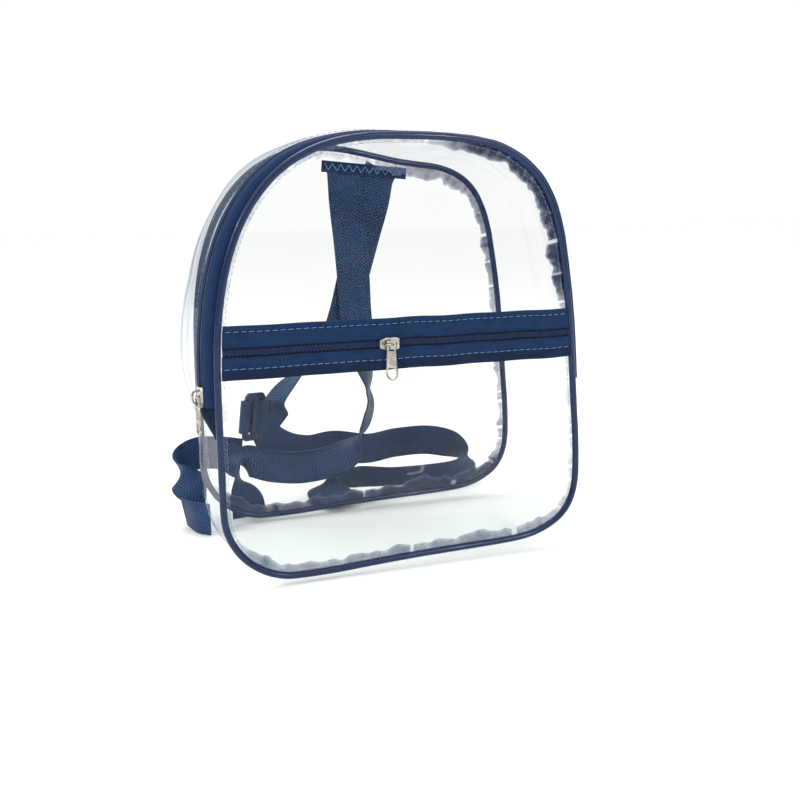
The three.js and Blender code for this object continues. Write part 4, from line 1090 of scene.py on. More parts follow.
@dataclass(frozen=True)
class MouldedAcetal(Finish):
    """Dark blue acetal, injection moulded in a spark-eroded tool: satin, with a fine grain."""

    colour: str = "#141d36"
    roughness: float = 0.34
    grain: float = 0.5

    def shade(self, tree: bpy.types.NodeTree) -> bpy.types.NodeSocket:
        """Builds the plastic.

        Args:
            tree: The material's node tree.

        Returns:
            The shader's output.
        """
        place = add_node(tree, "ShaderNodeTexCoord").outputs["Object"]
        grain = add_node(tree, "ShaderNodeTexNoise", {"Scale": noise_scale(self.grain), "Detail": 2.0},
                         {"Vector": place})
        handled = add_node(tree, "ShaderNodeTexNoise", {"Scale": noise_scale(9), "Detail": 3.0},
                           {"Vector": place})
        colour = add_node(tree, "ShaderNodeMix", {
            "data_type": "RGBA", 6: linear(self.colour), 7: linear("#22315a"),
        }, {0: handled.outputs["Fac"]})
        rough = add_node(tree, "ShaderNodeMapRange", {
            "To Min": self.roughness - 0.08, "To Max": self.roughness + 0.12,
        }, {"Value": handled.outputs["Fac"]})
        bump = add_node(tree, "ShaderNodeBump", {"Strength": 0.25, "Distance": 0.05 * MM},
                        {"Height": grain.outputs["Fac"]})
        skin = add_node(tree, "ShaderNodeBsdfPrincipled", {"IOR": 1.48}, {
            "Base Color": colour.outputs[2], "Roughness": rough.outputs[0], "Normal": bump.outputs["Normal"],
        })
        return skin.outputs[0]


@dataclass(frozen=True)
class PaintedBoard(Finish):
    """White emulsion on smooth board, for the floor: matt, with a trace of roller texture."""

    colour: str = "#fbfbfa"

    def shade(self, tree: bpy.types.NodeTree) -> bpy.types.NodeSocket:
        """Builds the floor's paint.

        Args:
            tree: The material's node tree.

        Returns:
            The shader's output.
        """
        place = add_node(tree, "ShaderNodeTexCoord").outputs["Object"]
        roller = add_node(tree, "ShaderNodeTexNoise", {"Scale": noise_scale(6), "Detail": 2.0},
                          {"Vector": place})
        bump = add_node(tree, "ShaderNodeBump", {"Strength": 0.05, "Distance": 0.1 * MM},
                        {"Height": roller.outputs["Fac"]})
        skin = add_node(tree, "ShaderNodeBsdfPrincipled", {
            "Base Color": linear(self.colour), "Roughness": 0.8, "Specular IOR Level": 0.05,
        }, {"Normal": bump.outputs["Normal"]})
        return skin.outputs[0]


CLEAR = CalenderedVinyl("clear_calendered_vinyl", Slot.CLEAR_VINYL)
CORD_SKIN = ExtrudedVinyl("navy_extruded_vinyl", Slot.NAVY_PIPING)
SEAM = SeamFilm("navy_seam_under_film", Slot.NAVY_PIPING)
TAPE = WovenTape("navy_woven_tape", Slot.NAVY_CLOTH)
STRAP = TwillWebbing("navy_twill_webbing", Slot.WEBBING)
THREAD = SpunThread("blue_spun_thread", Slot.NAVY_CLOTH)
COIL = NylonCoil("dark_nylon_coil", Slot.ZIP_COIL)
PLATE = NickelPlate("nickel_plated_zinc", Slot.NICKEL)
ACETAL = MouldedAcetal("dark_moulded_acetal", Slot.DARK_PLASTIC)
BOARD = PaintedBoard("white_painted_board", Slot.CLEAR_VINYL)


def settle(piece: bpy.types.Object, finish: Finish, body: Body = Body.BAG,
           replaces: Sequence[str] = ()) -> bpy.types.Object:
    """Dresses a finished piece and hands it to the frame.

    Args:
        piece: The piece.
        finish: Its finish.
        body: Body that it moves with.
        replaces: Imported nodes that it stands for.

    Returns:
        The piece.
    """
    finish.dress(piece)
    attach(piece, body.value)
    if replaces:
        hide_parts(*replaces)
    log.info("%s: %d faces, %s", piece.name, len(piece.data.polygons), finish.name)
    return piece


# Pieces of the bag


@dataclass
class Piping:
    """Navy piping round one panel: the bead and its sewn-in seam allowance."""

    name: str
    outline: Outline
    shape: Shape
    facing: int
    replaces: str
    stations: int = 640
    sides: int = 16
    allowance: float = 2.0
    low_extra: float = 3.6
    side_extra: float = 1.0
    dark_extra: float = 6.6

    def bead(self) -> bpy.types.Object:
        """Builds the round bead.

        Returns:
            A closed tube round the outline.
        """
        at = self.outline.around(self.stations)
        plane = -self.facing * HALF_DEPTH
        rings = []
        for angle in np.arange(self.sides) * 2 * math.pi / self.sides:
            radius = BEAD + 0.07 * ripple(3, at.x, at.z, scale=19)
            x, z = self.shape_place(at, math.cos(angle) * radius)
            rings.append(np.stack([x, plane + math.sin(angle) * radius, z], axis=-1))
        points = np.stack(rings, axis=1)
        points[..., 2] = np.maximum(points[..., 2], 0)
        return grid_piece(f"{self.name}_bead", points, wrap_rows=True, wrap_columns=True)

    def shape_place(self, at: Stations, out: np.ndarray) -> tuple[np.ndarray, np.ndarray]:
        """Place of stations on this panel's outline, moved outward."""
        return self.outline.on_outline(at, self.shape, out)

    def cover_of(self, at: Stations) -> tuple[np.ndarray, np.ndarray]:
        """How wide the seam allowance shows, and how dark.

        Args:
            at: The stations.

        Returns:
            Width in millimetres, and cover from 0 to 1.
        """
        right = smooth_step((at.x - 5) / 50)
        high = smooth_step((at.z - 172) / 25)
        low = smooth_step((34 - at.z) / 22)
        dark = right * high if self.facing > 0 else 0.25 * right * high
        wobble = ripple(11, at.x, at.z, scale=22) + 0.35 * ripple(12, at.x, at.z, scale=9)
        width = self.allowance + self.low_extra * low + self.dark_extra * dark
        width = width + self.side_extra * right * (1 - high)
        cover = 0.3 + 0.8 * dark + 0.36 * low + 0.1 * wobble
        if self.facing < 0:
            width = width + 4.2 * smooth_step((at.z - 262) / 20) + 2.4 * right + 1.2 * low
            cover = cover + 0.3 * right + 0.25 * low
        nick = smooth_step((ripple(13, at.x, at.z, waves=9, scale=7) - 0.75) / 0.15)
        return width * (1 + 0.28 * wobble), np.clip(cover - 0.8 * nick, 0, 1)

    def seam_allowance(self) -> bpy.types.Object:
        """Builds the strip that runs inward from the bead, behind the sheet.

        Returns:
            A strip with its cover stored for the finish.
        """
        at = self.outline.around(1100)
        width, cover = self.cover_of(at)
        columns = np.linspace(0, 1, 6)
        plane = -self.facing * (HALF_DEPTH - 0.8)
        rows = []
        for share in columns:
            x, z = self.shape_place(at, -(BEAD - 0.3) - share * width)
            lift = 0.25 * ripple(14, x, z, scale=9) * share
            rows.append(np.stack([x, plane + self.facing * lift, z], axis=-1))
        piece = grid_piece(f"{self.name}_seam_allowance", np.stack(rows, axis=1), wrap_rows=True)
        fade = 1 - 0.35 * smooth_step((columns - 0.7) / 0.3)
        add_attribute(piece, "cover", cover[:, None] * fade[None, :])
        return piece

    def stitches(self, pitch: float = 4.2, length: float = 3.0, inset: float = 4.4) -> bpy.types.Object:
        """Builds the row of stitches that holds sheet and piping together.

        Args:
            pitch: Millimetres from stitch to stitch.
            length: Length of each.
            inset: Distance in from the bead's middle.

        Returns:
            The stitches, one piece.
        """
        count = int(self.outline.length / pitch)
        starts, ends = [], []
        for share, kept in ((0.0, starts), (length / pitch, ends)):
            at = self.outline.stations((np.arange(count) + share) * self.outline.length / count)
            x, z = self.shape_place(at, -inset)
            kept.append(np.stack([x, 0 * x - self.facing * (HALF_DEPTH + 0.55), z], axis=-1))
        lift = np.tile([0, -self.facing, 0], (count, 1)).astype(float)
        return many_rods(f"{self.name}_stitches", starts[0], ends[0], lift, 0.16, flat=0.8, sides=5)

    def build(self) -> None:
        """Builds and dresses all of it."""
        settle(self.bead(), CORD_SKIN, replaces=[self.replaces])
        settle(self.seam_allowance(), SEAM)
        settle(self.stitches(), THREAD)


@dataclass
class ClearSheets:
    """The three flat clear sheets: front, back and pocket."""

    outline: Outline
    stations: int = 400
    rings: int = 52
    front_wave: float = 0.55
    back_wave: float = 0.9
    pucker: float = 0.4

    def filled(self, name: str, edge: np.ndarray, depth: Callable) -> bpy.types.Object:
        """Sheet inside an edge, its rings shrinking to the middle.

        Args:
            name: Name of the piece.
            edge: The edge's x and z, one row for each point.
            depth: Gives y from x, z and the share of the way from middle to edge.

        Returns:
            The sheet.
        """
        middle = edge.mean(axis=0)
        shares = np.linspace(1, 0.02, self.rings) ** 0.85
        flat = middle + shares[:, None, None] * (edge - middle)[None]
        x, z = flat[..., 0], flat[..., 1]
        y = depth(x, z, np.broadcast_to(shares[:, None], x.shape))
        points = np.stack([x, y, z], axis=-1).reshape(-1, 3)
        hub = np.array([[middle[0], points[-len(edge):, 1].mean(), middle[1]]])
        count = len(edge)
        faces = grid_faces(self.rings, count, False, True)
        last = (self.rings - 1) * count
        faces += [(last + k, last + (k + 1) % count, last + count) for k in range(count)]
        points = np.concatenate([points, hub])
        piece = finish_mesh(name, points, faces, points[:, [0, 2]] * MM)
        return piece

    def puckers(self, x: np.ndarray, z: np.ndarray, share: np.ndarray, seed: int) -> np.ndarray:
        """Short gathers beside the seam, fading inward.

        Args:
            x: Places across.
            z: Heights.
            share: Share of the way from middle to edge.
            seed: Seed of the gathers.

        Returns:
            Millimetres out of the sheet.
        """
        inset = (1 - share) * HALF_WIDTH
        gathers = ripple(seed, x, z, waves=8, scale=11)
        return self.pucker * np.exp(-inset / 11) * gathers * smooth_step(inset / 4)

    def front(self) -> bpy.types.Object:
        """Builds the front sheet.

        Returns:
            The sheet.
        """
        at = self.outline.around(self.stations)
        x, z = self.outline.on_outline(at, FRONT, EDGE_INSET + 0.8)

        def depth(px: np.ndarray, pz: np.ndarray, share: np.ndarray) -> np.ndarray:
            """Level of the sheet, freest above the pocket's zip.

            Args:
                px: Places across.
                pz: Heights.
                share: Share of the way from middle to edge.

            Returns:
                The y of each point.
            """
            free = smooth_step((1 - share) * 5) * (0.5 + 0.9 * smooth_step((pz - 190) / 30))
            wave = self.front_wave * free * ripple(21, px * 1.3, pz * 0.7, waves=7, scale=62)
            return -HALF_DEPTH + wave + self.puckers(px, pz, share, 22)

        return self.filled("clear_front_sheet", np.stack([x, z], axis=-1), depth)

    def back(self) -> bpy.types.Object:
        """Builds the back sheet, which bows out a little.

        Returns:
            The sheet.
        """
        at = self.outline.around(self.stations)
        x, z = self.outline.on_outline(at, BACK, EDGE_INSET + 0.8)

        def depth(px: np.ndarray, pz: np.ndarray, share: np.ndarray) -> np.ndarray:
            """Level of the sheet.

            Args:
                px: Places across.
                pz: Heights.
                share: Share of the way from middle to edge.

            Returns:
                The y of each point.
            """
            margin = 1 - 8.3 / HALF_WIDTH
            crown = BACK_CROWN * np.clip(1 - (share / margin) ** 2, 0, 1)
            wave = self.back_wave * smooth_step((1 - share) * 4) * ripple(23, px, pz, waves=7, scale=70)
            return HALF_DEPTH + crown + wave + self.puckers(px, pz, share, 24)

        return self.filled("clear_back_sheet", np.stack([x, z], axis=-1), depth)

    def pocket(self) -> bpy.types.Object:
        """Builds the pocket's sheet, full in the middle and flat along its seams.

        Returns:
            The sheet.
        """
        top = BAND_BOTTOM + POCKET_LAP
        at = self.outline.around(self.stations)
        x, z = self.outline.on_outline(at, FRONT, EDGE_INSET + 0.4)
        edge = np.stack([x, np.minimum(z, top)], axis=-1)
        on_right = at.distance < self.outline.length / 2
        right = edge[(z < top) & on_right]
        left = edge[(z < top) & ~on_right]
        across = np.linspace(right[-1, 0], left[0, 0], 70)[1:-1]
        edge = np.concatenate([right, np.stack([across, np.full(68, top)], axis=-1), left])
        level = POCKET_LEVEL
        margin = 1 - (POCKET_LAP + 4) / ((top - BEAD_HEIGHT) / 2)

        def depth(px: np.ndarray, pz: np.ndarray, share: np.ndarray) -> np.ndarray:
            """Level of the sheet.

            Args:
                px: Places across.
                pz: Heights.
                share: Share of the way from middle to edge.

            Returns:
                The y of each point.
            """
            full = np.clip(1 - (share / margin) ** 2, 0, 1)
            wave = 1.1 * smooth_step((1 - share) * 4) * ripple(25, px * 0.8, pz * 1.2, waves=8, scale=58)
            near_zip = np.exp(-((BAND_BOTTOM - pz) / 22) ** 2) * smooth_step((1 - share) * 9)
            gather = 0.5 * near_zip * np.sin(px / 6.1 + 2 * np.sin(px / 23))
            return level - POCKET_BULGE * full + wave + gather + self.puckers(px, pz, share, 26)

        return self.filled("clear_pocket_sheet", edge, depth)

    def build(self) -> None:
        """Builds and dresses the three sheets."""
        settle(self.front(), CLEAR, replaces=["front_panel"])
        settle(self.back(), CLEAR, replaces=["back_panel"])
        settle(self.pocket(), CLEAR, replaces=["pocket_panel"])


@dataclass
class SideWall:
    """Clear wall between the panels, soft enough to fold and buckle."""

    outline: Outline
    stations: int = 560
    columns: int = 34
    buckle: float = 0.9
    crease: float = 0.55

    def build(self) -> None:
        """Builds and dresses the wall."""
        at = self.outline.around(self.stations)
        plain = BEAD + GAP - 0.6
        start = plain + (WALL_BESIDE_ZIP - plain) * self.outline.zip_nearness(at)
        end = DEPTH - BEAD - GAP + 0.6
        rows = []
        for share in np.linspace(0, 1, self.columns):
            y = start + share * (end - start)
            held = math.sin(math.pi * share) ** 0.6
            upright = np.abs(at.nx)
            fold = ripple(31, y * 2.6, at.z * 0.45, waves=8, scale=46)
            soft = ripple(32, at.distance, y, waves=6, scale=64)
            beside_seams = math.exp(-share * 9) + math.exp(-(1 - share) * 9)
            near_seam = ripple(33, at.distance, waves=9, scale=12) * beside_seams
            out = SHEET / 2 + held * (self.buckle * upright * fold + self.crease * soft)
            out = out + 0.35 * near_seam * min(1.0, 12 * share * (1 - share))
            rows.append(self.outline.wall_point(at, y, out))
        points = np.stack(rows, axis=1)
        points[..., 2] = np.maximum(points[..., 2], 0.4)
        piece = grid_piece("clear_side_wall", points, wrap_rows=True)
        settle(piece, CLEAR, replaces=["side_wall"])


@dataclass
class MainZip:
    """Zip round the arch: two tapes, the teeth and the cloth at its ends."""

    outline: Outline
    pitch: float = 1.3
    step: float = 2.4
    tooth: float = 0.42
    rear_width: float = 6.8
    lap_inset: float = 2.2

    def at_zip(self, at: Stations, y: float, out: np.ndarray) -> np.ndarray:
        """Points near the zip, out from the line between the beads."""
        return self.outline.between_beads(at, y + 0 * at.x, out)

    def teeth_out(self, at: Stations) -> np.ndarray:
        """How far out the middle of the teeth lies."""
        return self.outline.wall_rise(at, ZIP_DEPTH / DEPTH) - TAPE_UNDER_WALL

    def strip(self, name: str, at: Stations, ys: np.ndarray, outs: np.ndarray) -> bpy.types.Object:
        """Closed strip of cloth along the zip.

        Args:
            name: Name of the piece.
            at: Stations along it.
            ys: Depths across its middle line, one row for each station.
            outs: How far out the middle line lies, in the same order.

        Returns:
            The strip, 1 mm thick.
        """
        slope_y = np.gradient(ys, axis=1)
        slope_out = np.gradient(outs, axis=1)
        size = np.hypot(slope_y, slope_out)
        push_y, push_out = -slope_out / size * CLOTH / 2, slope_y / size * CLOTH / 2
        columns = [self.outline.between_beads(at, ys[:, k] + push_y[:, k], outs[:, k] + push_out[:, k])
                   for k in range(ys.shape[1])]
        columns += [self.outline.between_beads(at, ys[:, k] - push_y[:, k], outs[:, k] - push_out[:, k])
                    for k in reversed(range(ys.shape[1]))]
        return grid_piece(name, np.stack(columns, axis=1), wrap_columns=True, capped=True)

    def front_tape(self) -> bpy.types.Object:
        """Builds the tape between the bead and the teeth.

        Returns:
            The tape, a closed body.
        """
        at = self.outline.between(self.outline.zip_start, self.outline.zip_finish, self.step)
        start = BEAD + GAP + CLOTH / 2
        end = ZIP_DEPTH - COIL_WIDTH / 2 - GAP
        rise = self.outline.wall_rise(at, end / DEPTH) - TAPE_UNDER_WALL
        shares = np.linspace(0, 1, 10)
        lifts = np.interp(shares, [0, 0.18, 0.5, 1], [0, 0.5, 0.88, 1])
        ys = np.broadcast_to(start + shares * (end - start), (len(at.x), 10))
        ridge = 0.22 * np.exp(-((shares - 0.86) / 0.08) ** 2) - 0.2 * np.exp(-((shares - 0.62) / 0.06) ** 2)
        outs = 0.6 + lifts[None] * (rise[:, None] - 0.6) + ridge[None]
        outs = outs + 0.12 * ripple(41, at.distance, scale=14)[:, None] * shares[None]
        return self.strip("zip_tape_front", at, ys, outs)

    def rear_tape(self) -> bpy.types.Object:
        """Builds the tape between the teeth and the side wall.

        Returns:
            The tape, a closed body.
        """
        at = self.outline.between(self.outline.zip_start, self.outline.zip_finish, self.step)
        start = ZIP_DEPTH + COIL_WIDTH / 2 + GAP
        shares = np.linspace(0, 1, 8)
        ys = np.broadcast_to(start + shares * self.rear_width, (len(at.x), 8))
        outs = np.stack([self.outline.wall_rise(at, y / DEPTH) for y in ys[0]], axis=1) - TAPE_UNDER_WALL
        ridge = 0.22 * np.exp(-((shares - 0.1) / 0.07) ** 2)
        return self.strip("zip_tape_rear", at, ys, outs + ridge[None])

    def teeth(self) -> bpy.types.Object:
        """Builds the coil's teeth, alternating from side to side.

        Returns:
            The teeth, one piece.
        """
        at = self.outline.between(self.outline.zip_start, self.outline.zip_finish, self.pitch)
        out = self.teeth_out(at)
        side = np.where(np.arange(len(at.x)) % 2 == 0, 0.3, -0.3)
        half = COIL_WIDTH / 2 - 0.45
        middle = self.outline.between_beads(at, ZIP_DEPTH + side, out + 0.35)
        front = self.outline.between_beads(at, ZIP_DEPTH + side - half, out + 0.2)
        back = self.outline.between_beads(at, ZIP_DEPTH + side + half, out + 0.2)
        lift = np.stack([at.nx, 0 * at.nx, at.nz], axis=-1)
        starts = np.concatenate([front, middle])
        ends = np.concatenate([middle, back])
        return many_rods("main_zip_teeth", starts, ends, np.concatenate([lift, lift]), self.tooth, sides=5)

    def teeth_bed(self) -> bpy.types.Object:
        """Builds the cord that the teeth are sewn over.

        Returns:
            The cord, painted near black as painted shade between the teeth.
        """
        at = self.outline.between(self.outline.zip_start, self.outline.zip_finish, self.step)
        out = self.teeth_out(at)
        columns = []
        for angle in np.arange(8) * math.pi / 4:
            y = ZIP_DEPTH + math.cos(angle) * (COIL_WIDTH / 2 - 0.1)
            columns.append(self.at_zip(at, y, out + math.sin(angle) * 0.55 - 0.3))
        piece = grid_piece("main_zip_bed", np.stack(columns, axis=1), wrap_columns=True, capped=True)
        # Painted shade: the cord is darkened to stand for the shade in the gaps between the teeth
        add_attribute(piece, "shade", np.full(len(piece.data.vertices), 0.9))
        return piece

    def end_cloth(self, side: Side) -> bpy.types.Object:
        """Builds the pointed cloth below the teeth on one side.

        Args:
            side: The side.

        Returns:
            The cloth, 1 mm thick.
        """
        along = np.maximum(np.linspace(0, 0.86, 22) * END_TAB, GAP)
        distance = self.outline.zip_start - along if side is Side.RIGHT else self.outline.zip_finish + along
        at = self.outline.stations(distance)
        plain = BEAD + GAP
        wall = plain + (WALL_BESIDE_ZIP - plain) * self.outline.zip_nearness(at)
        start = plain + CLOTH / 2
        end = np.maximum(wall - GAP, start + 0.6)
        rise = self.outline.wall_rise(at, end / DEPTH)
        shares = np.linspace(0, 1, 8)
        lifts = np.interp(shares, [0, 0.45, 1], [0, 0.75, 1])
        ys = start + shares[None] * (end - start)[:, None]
        outs = 0.5 + lifts[None] * (np.maximum(rise, 0.5) - 0.5)[:, None]
        piece = self.strip(f"zip_end_cloth_{side.name.lower()}", at, ys, outs)
        add_attribute(piece, "shade", np.full(len(piece.data.vertices), 0.25))
        return piece

    def lap_stitches(self) -> bpy.types.Object:
        """Builds the row of stitches through the side wall and the rear tape.

        Returns:
            The stitches, one piece.
        """
        at = self.outline.between(self.outline.zip_start, self.outline.zip_finish, 4.2)
        late = self.outline.stations(at.distance + 2.9)
        y = WALL_BESIDE_ZIP + self.lap_inset
        starts = self.outline.wall_point(at, y + 0 * at.x, SHEET + 0.3)
        ends = self.outline.wall_point(late, y + 0 * at.x, SHEET + 0.3)
        lift = np.stack([at.nx, 0 * at.nx, at.nz], axis=-1)
        return many_rods("zip_lap_stitches", starts, ends, lift, 0.18, flat=0.8, sides=5)

    def build(self) -> None:
        """Builds and dresses the zip."""
        settle(self.front_tape(), TAPE, replaces=["main_tape_front"])
        settle(self.rear_tape(), TAPE, replaces=["main_tape_rear"])
        settle(self.teeth(), COIL, replaces=["main_coil"])
        settle(self.teeth_bed(), TAPE)
        settle(self.lap_stitches(), THREAD)
        for side in Side:
            settle(self.end_cloth(side), TAPE, replaces=[f"zip_end_{side.name.lower()}"])


@dataclass
class PocketZip:
    """Navy band across the front with the pocket's zip in it."""

    outline: Outline
    pitch: float = 1.3
    columns: int = 300
    fold: float = 3.6
    stitch_pitch: float = 5.2
    stitch_length: float = 3.7
    level: float = BAND_LEVEL

    def reach(self, z: np.ndarray, side: Side) -> np.ndarray:
        """Where the band ends at some heights, on one side.

        Args:
            z: Heights above the floor.
            side: The side.

        Returns:
            The x of each, in millimetres.
        """
        at = self.outline.around(2000)
        half = at.distance < self.outline.length / 2
        chosen = half if side is Side.RIGHT else ~half
        order = np.argsort(at.z[chosen])
        edge = np.interp(z - BEAD_HEIGHT, at.z[chosen][order], at.x[chosen][order])
        return edge + side.value * (EDGE_INSET + 0.3)

    def band(self, name: str, top: float, height: float, relief: Callable,
             shade: Callable) -> bpy.types.Object:
        """One strip of the band.

        Args:
            name: Name of the piece.
            top: Height of its top edge.
            height: From its top edge to its bottom one.
            relief: Gives how far the face stands out, from x and the distance below the top.
            shade: Gives how much darker the cloth is painted, as painted shade or darker tone, from the same
                two.

        Returns:
            The strip, a closed body.
        """
        downs = np.linspace(0, height, 30)
        shares = np.linspace(0, 1, self.columns)
        left = self.reach(top - downs, Side.LEFT)
        right = self.reach(top - downs, Side.RIGHT)
        x = left[None] + shares[:, None] * (right - left)[None]
        down = np.broadcast_to(downs, x.shape)
        slack = 0.35 * ripple(51, x, scale=48)
        edge = np.minimum(downs, height - downs)
        rounded = 0.5 * np.sqrt(np.clip(edge / 0.7, 0, 1))
        y = self.level - rounded[None] - relief(x, down) * np.clip(edge / 0.5, 0, 1)[None]
        front = np.stack([x, y, top - down + slack], axis=-1)
        behind = np.stack([x, self.level + rounded[None] + 0 * x, top - down + slack], axis=-1)
        behind = behind[:, ::-1][:, ::6]
        points = np.concatenate([front, behind], axis=1)
        piece = grid_piece(name, points, wrap_columns=True, capped=True)
        # The front face carries the painted shade and darker tone; the back face none
        dark = np.concatenate([shade(x, down), 0 * behind[..., 0]], axis=1)
        add_attribute(piece, "shade", np.clip(dark, 0, 1))
        return piece

    def upper(self) -> bpy.types.Object:
        """Builds the strip above the zip: a folded hem, then tape with soft folds.

        Returns:
            The strip.
        """

        def relief(x: np.ndarray, down: np.ndarray) -> np.ndarray:
            """Hem, stitch groove, soft folds and the ridge beside the teeth.

            Args:
                x: Places across.
                down: Distances below the strip's top.

            Returns:
                Millimetres of relief.
            """
            hem = 0.55 * np.exp(-((down - self.fold / 2) / 1.5) ** 2)
            groove = -0.3 * np.exp(-((down - self.fold - 0.4) / 0.45) ** 2)
            soft = 0.28 * ripple(52, x * 0.55, down * 2.2, waves=7, scale=15) * smooth_step((down - 4) / 3)
            ridge = 0.35 * np.exp(-((down - UPPER_BAND + 1.5) / 0.55) ** 2) * (0.75 + 0.25 * np.sin(x * 4.8))
            return hem + groove + soft * smooth_step((UPPER_BAND - 2 - down) / 2) + ridge

        def shade(x: np.ndarray, down: np.ndarray) -> np.ndarray:
            """Painted shade in the pits under the hem and beside the teeth, with uneven tone.

            Args:
                x: Places across.
                down: Distances below the strip's top.

            Returns:
                How much darker, from 0 to 1.
            """
            # Painted shade under the hem and beside the teeth, then random unevenness
            return (0.35 * np.exp(-((down - self.fold - 0.5) / 0.6) ** 2)
                    + 0.45 * smooth_step((down - UPPER_BAND + 0.9) / 0.7)
                    + 0.12 * ripple(53, x, down * 3, scale=22))

        return self.band("pocket_zip_tape_upper", BAND_TOP, UPPER_BAND, relief, shade)

    def lower(self) -> bpy.types.Object:
        """Builds the strip below the zip: tape, stitch row and the pocket's bound edge.

        Returns:
            The strip.
        """

        def relief(x: np.ndarray, down: np.ndarray) -> np.ndarray:
            """Ridge beside the teeth, tape, stitch groove and binding.

            Args:
                x: Places across.
                down: Distances below the strip's top.

            Returns:
                Millimetres of relief.
            """
            ridge = 0.35 * np.exp(-((down - 1.5) / 0.55) ** 2) * (0.75 + 0.25 * np.sin(x * 4.8))
            groove = -0.3 * np.exp(-((down - 8.4) / 0.5) ** 2)
            binding = 0.3 * smooth_step((down - 8.6) / 0.8)
            soft = 0.2 * ripple(54, x * 0.6, down * 2, waves=7, scale=17)
            return ridge + groove + binding + soft * smooth_step((down - 2.5) / 2)

        def shade(x: np.ndarray, down: np.ndarray) -> np.ndarray:
            """Painted shade beside the teeth; the binding is darker than the tape.

            Args:
                x: Places across.
                down: Distances below the strip's top.

            Returns:
                How much darker, from 0 to 1.
            """
            # Painted shade beside the teeth at the top, then the binding's darker tone and random unevenness
            return (0.45 * smooth_step((0.9 - down) / 0.7) + 0.3 * smooth_step((down - 8.6) / 0.8)
                    + 0.12 * ripple(55, x, down * 3, scale=20))

        return self.band("pocket_zip_tape_lower", BAND_BOTTOM + LOWER_BAND, LOWER_BAND, relief, shade)

    def teeth(self) -> bpy.types.Object:
        """Builds the teeth of the pocket's zip.

        Returns:
            The teeth, one piece.
        """
        z = POCKET_TEETH
        left = float(self.reach(np.array([z]), Side.LEFT)[0]) + 0.6
        right = float(self.reach(np.array([z]), Side.RIGHT)[0]) - 0.6
        x = np.arange(left, right, self.pitch)
        side = np.where(np.arange(len(x)) % 2 == 0, 0.3, -0.3)
        half = COIL_WIDTH / 2 - 0.45
        slack = 0.35 * ripple(51, x, scale=48)
        starts, ends = [], []
        for low, high in ((-half, 0.0), (0.0, half)):
            for kept, push in ((starts, low), (ends, high)):
                y = self.level - (0.55 if push == 0 else 0.3)
                kept.append(np.stack([x, y + 0 * x, z + side + push + slack], axis=-1))
        lift = np.tile([0.0, -1.0, 0.0], (2 * len(x), 1))
        starts, ends = np.concatenate(starts), np.concatenate(ends)
        return many_rods("pocket_zip_teeth", starts, ends, lift, 0.46, sides=5)

    def teeth_bed(self) -> bpy.types.Object:
        """Builds the cord that the teeth are sewn over.

        Returns:
            The cord, painted near black as painted shade between the teeth.
        """
        z = POCKET_TEETH
        left = float(self.reach(np.array([z]), Side.LEFT)[0]) + 0.4
        right = float(self.reach(np.array([z]), Side.RIGHT)[0]) - 0.4
        x = np.linspace(left, right, 160)
        slack = 0.35 * ripple(51, x, scale=48)
        columns = []
        for angle in np.arange(8) * math.pi / 4:
            y = self.level + 0.25 - math.sin(angle) * 0.5
            up = z + slack + math.cos(angle) * (COIL_ROW / 2 + 0.25)
            columns.append(np.stack([x, y + 0 * x, up], axis=-1))
        piece = grid_piece("pocket_zip_bed", np.stack(columns, axis=1), wrap_columns=True, capped=True)
        # Painted shade: the cord is darkened to stand for the shade in the gaps between the teeth
        add_attribute(piece, "shade", np.full(len(piece.data.vertices), 0.9))
        return piece

    def stitches(self) -> bpy.types.Object:
        """Builds the two rows of stitches along the band.

        Returns:
            The stitches, one piece.
        """
        starts, ends = [], []
        for z, out in ((BAND_TOP - self.fold - 0.4, 0.42), (BAND_BOTTOM + LOWER_BAND - 8.4, 0.42)):
            left = float(self.reach(np.array([z]), Side.LEFT)[0]) + 1.5
            right = float(self.reach(np.array([z]), Side.RIGHT)[0]) - 5
            x = np.arange(left, right, self.stitch_pitch)
            for kept, push in ((starts, 0.0), (ends, self.stitch_length)):
                slack = 0.35 * ripple(51, x + push, scale=48)
                tilt = 0.12 if push else -0.12
                kept.append(np.stack([x + push, self.level - out - 0.35 + 0 * x, z + slack + tilt], axis=-1))
        starts, ends = np.concatenate(starts), np.concatenate(ends)
        lift = np.tile([0.0, -1.0, 0.0], (len(starts), 1))
        return many_rods("pocket_zip_stitches", starts, ends, lift, 0.22, flat=0.8)

    def build(self) -> None:
        """Builds and dresses the band and its zip."""
        settle(self.upper(), TAPE, replaces=["pocket_band_upper"])
        settle(self.lower(), TAPE, replaces=["pocket_band_lower"])
        settle(self.teeth(), COIL, replaces=["pocket_coil"])
        settle(self.teeth_bed(), TAPE)
        settle(self.stitches(), THREAD)


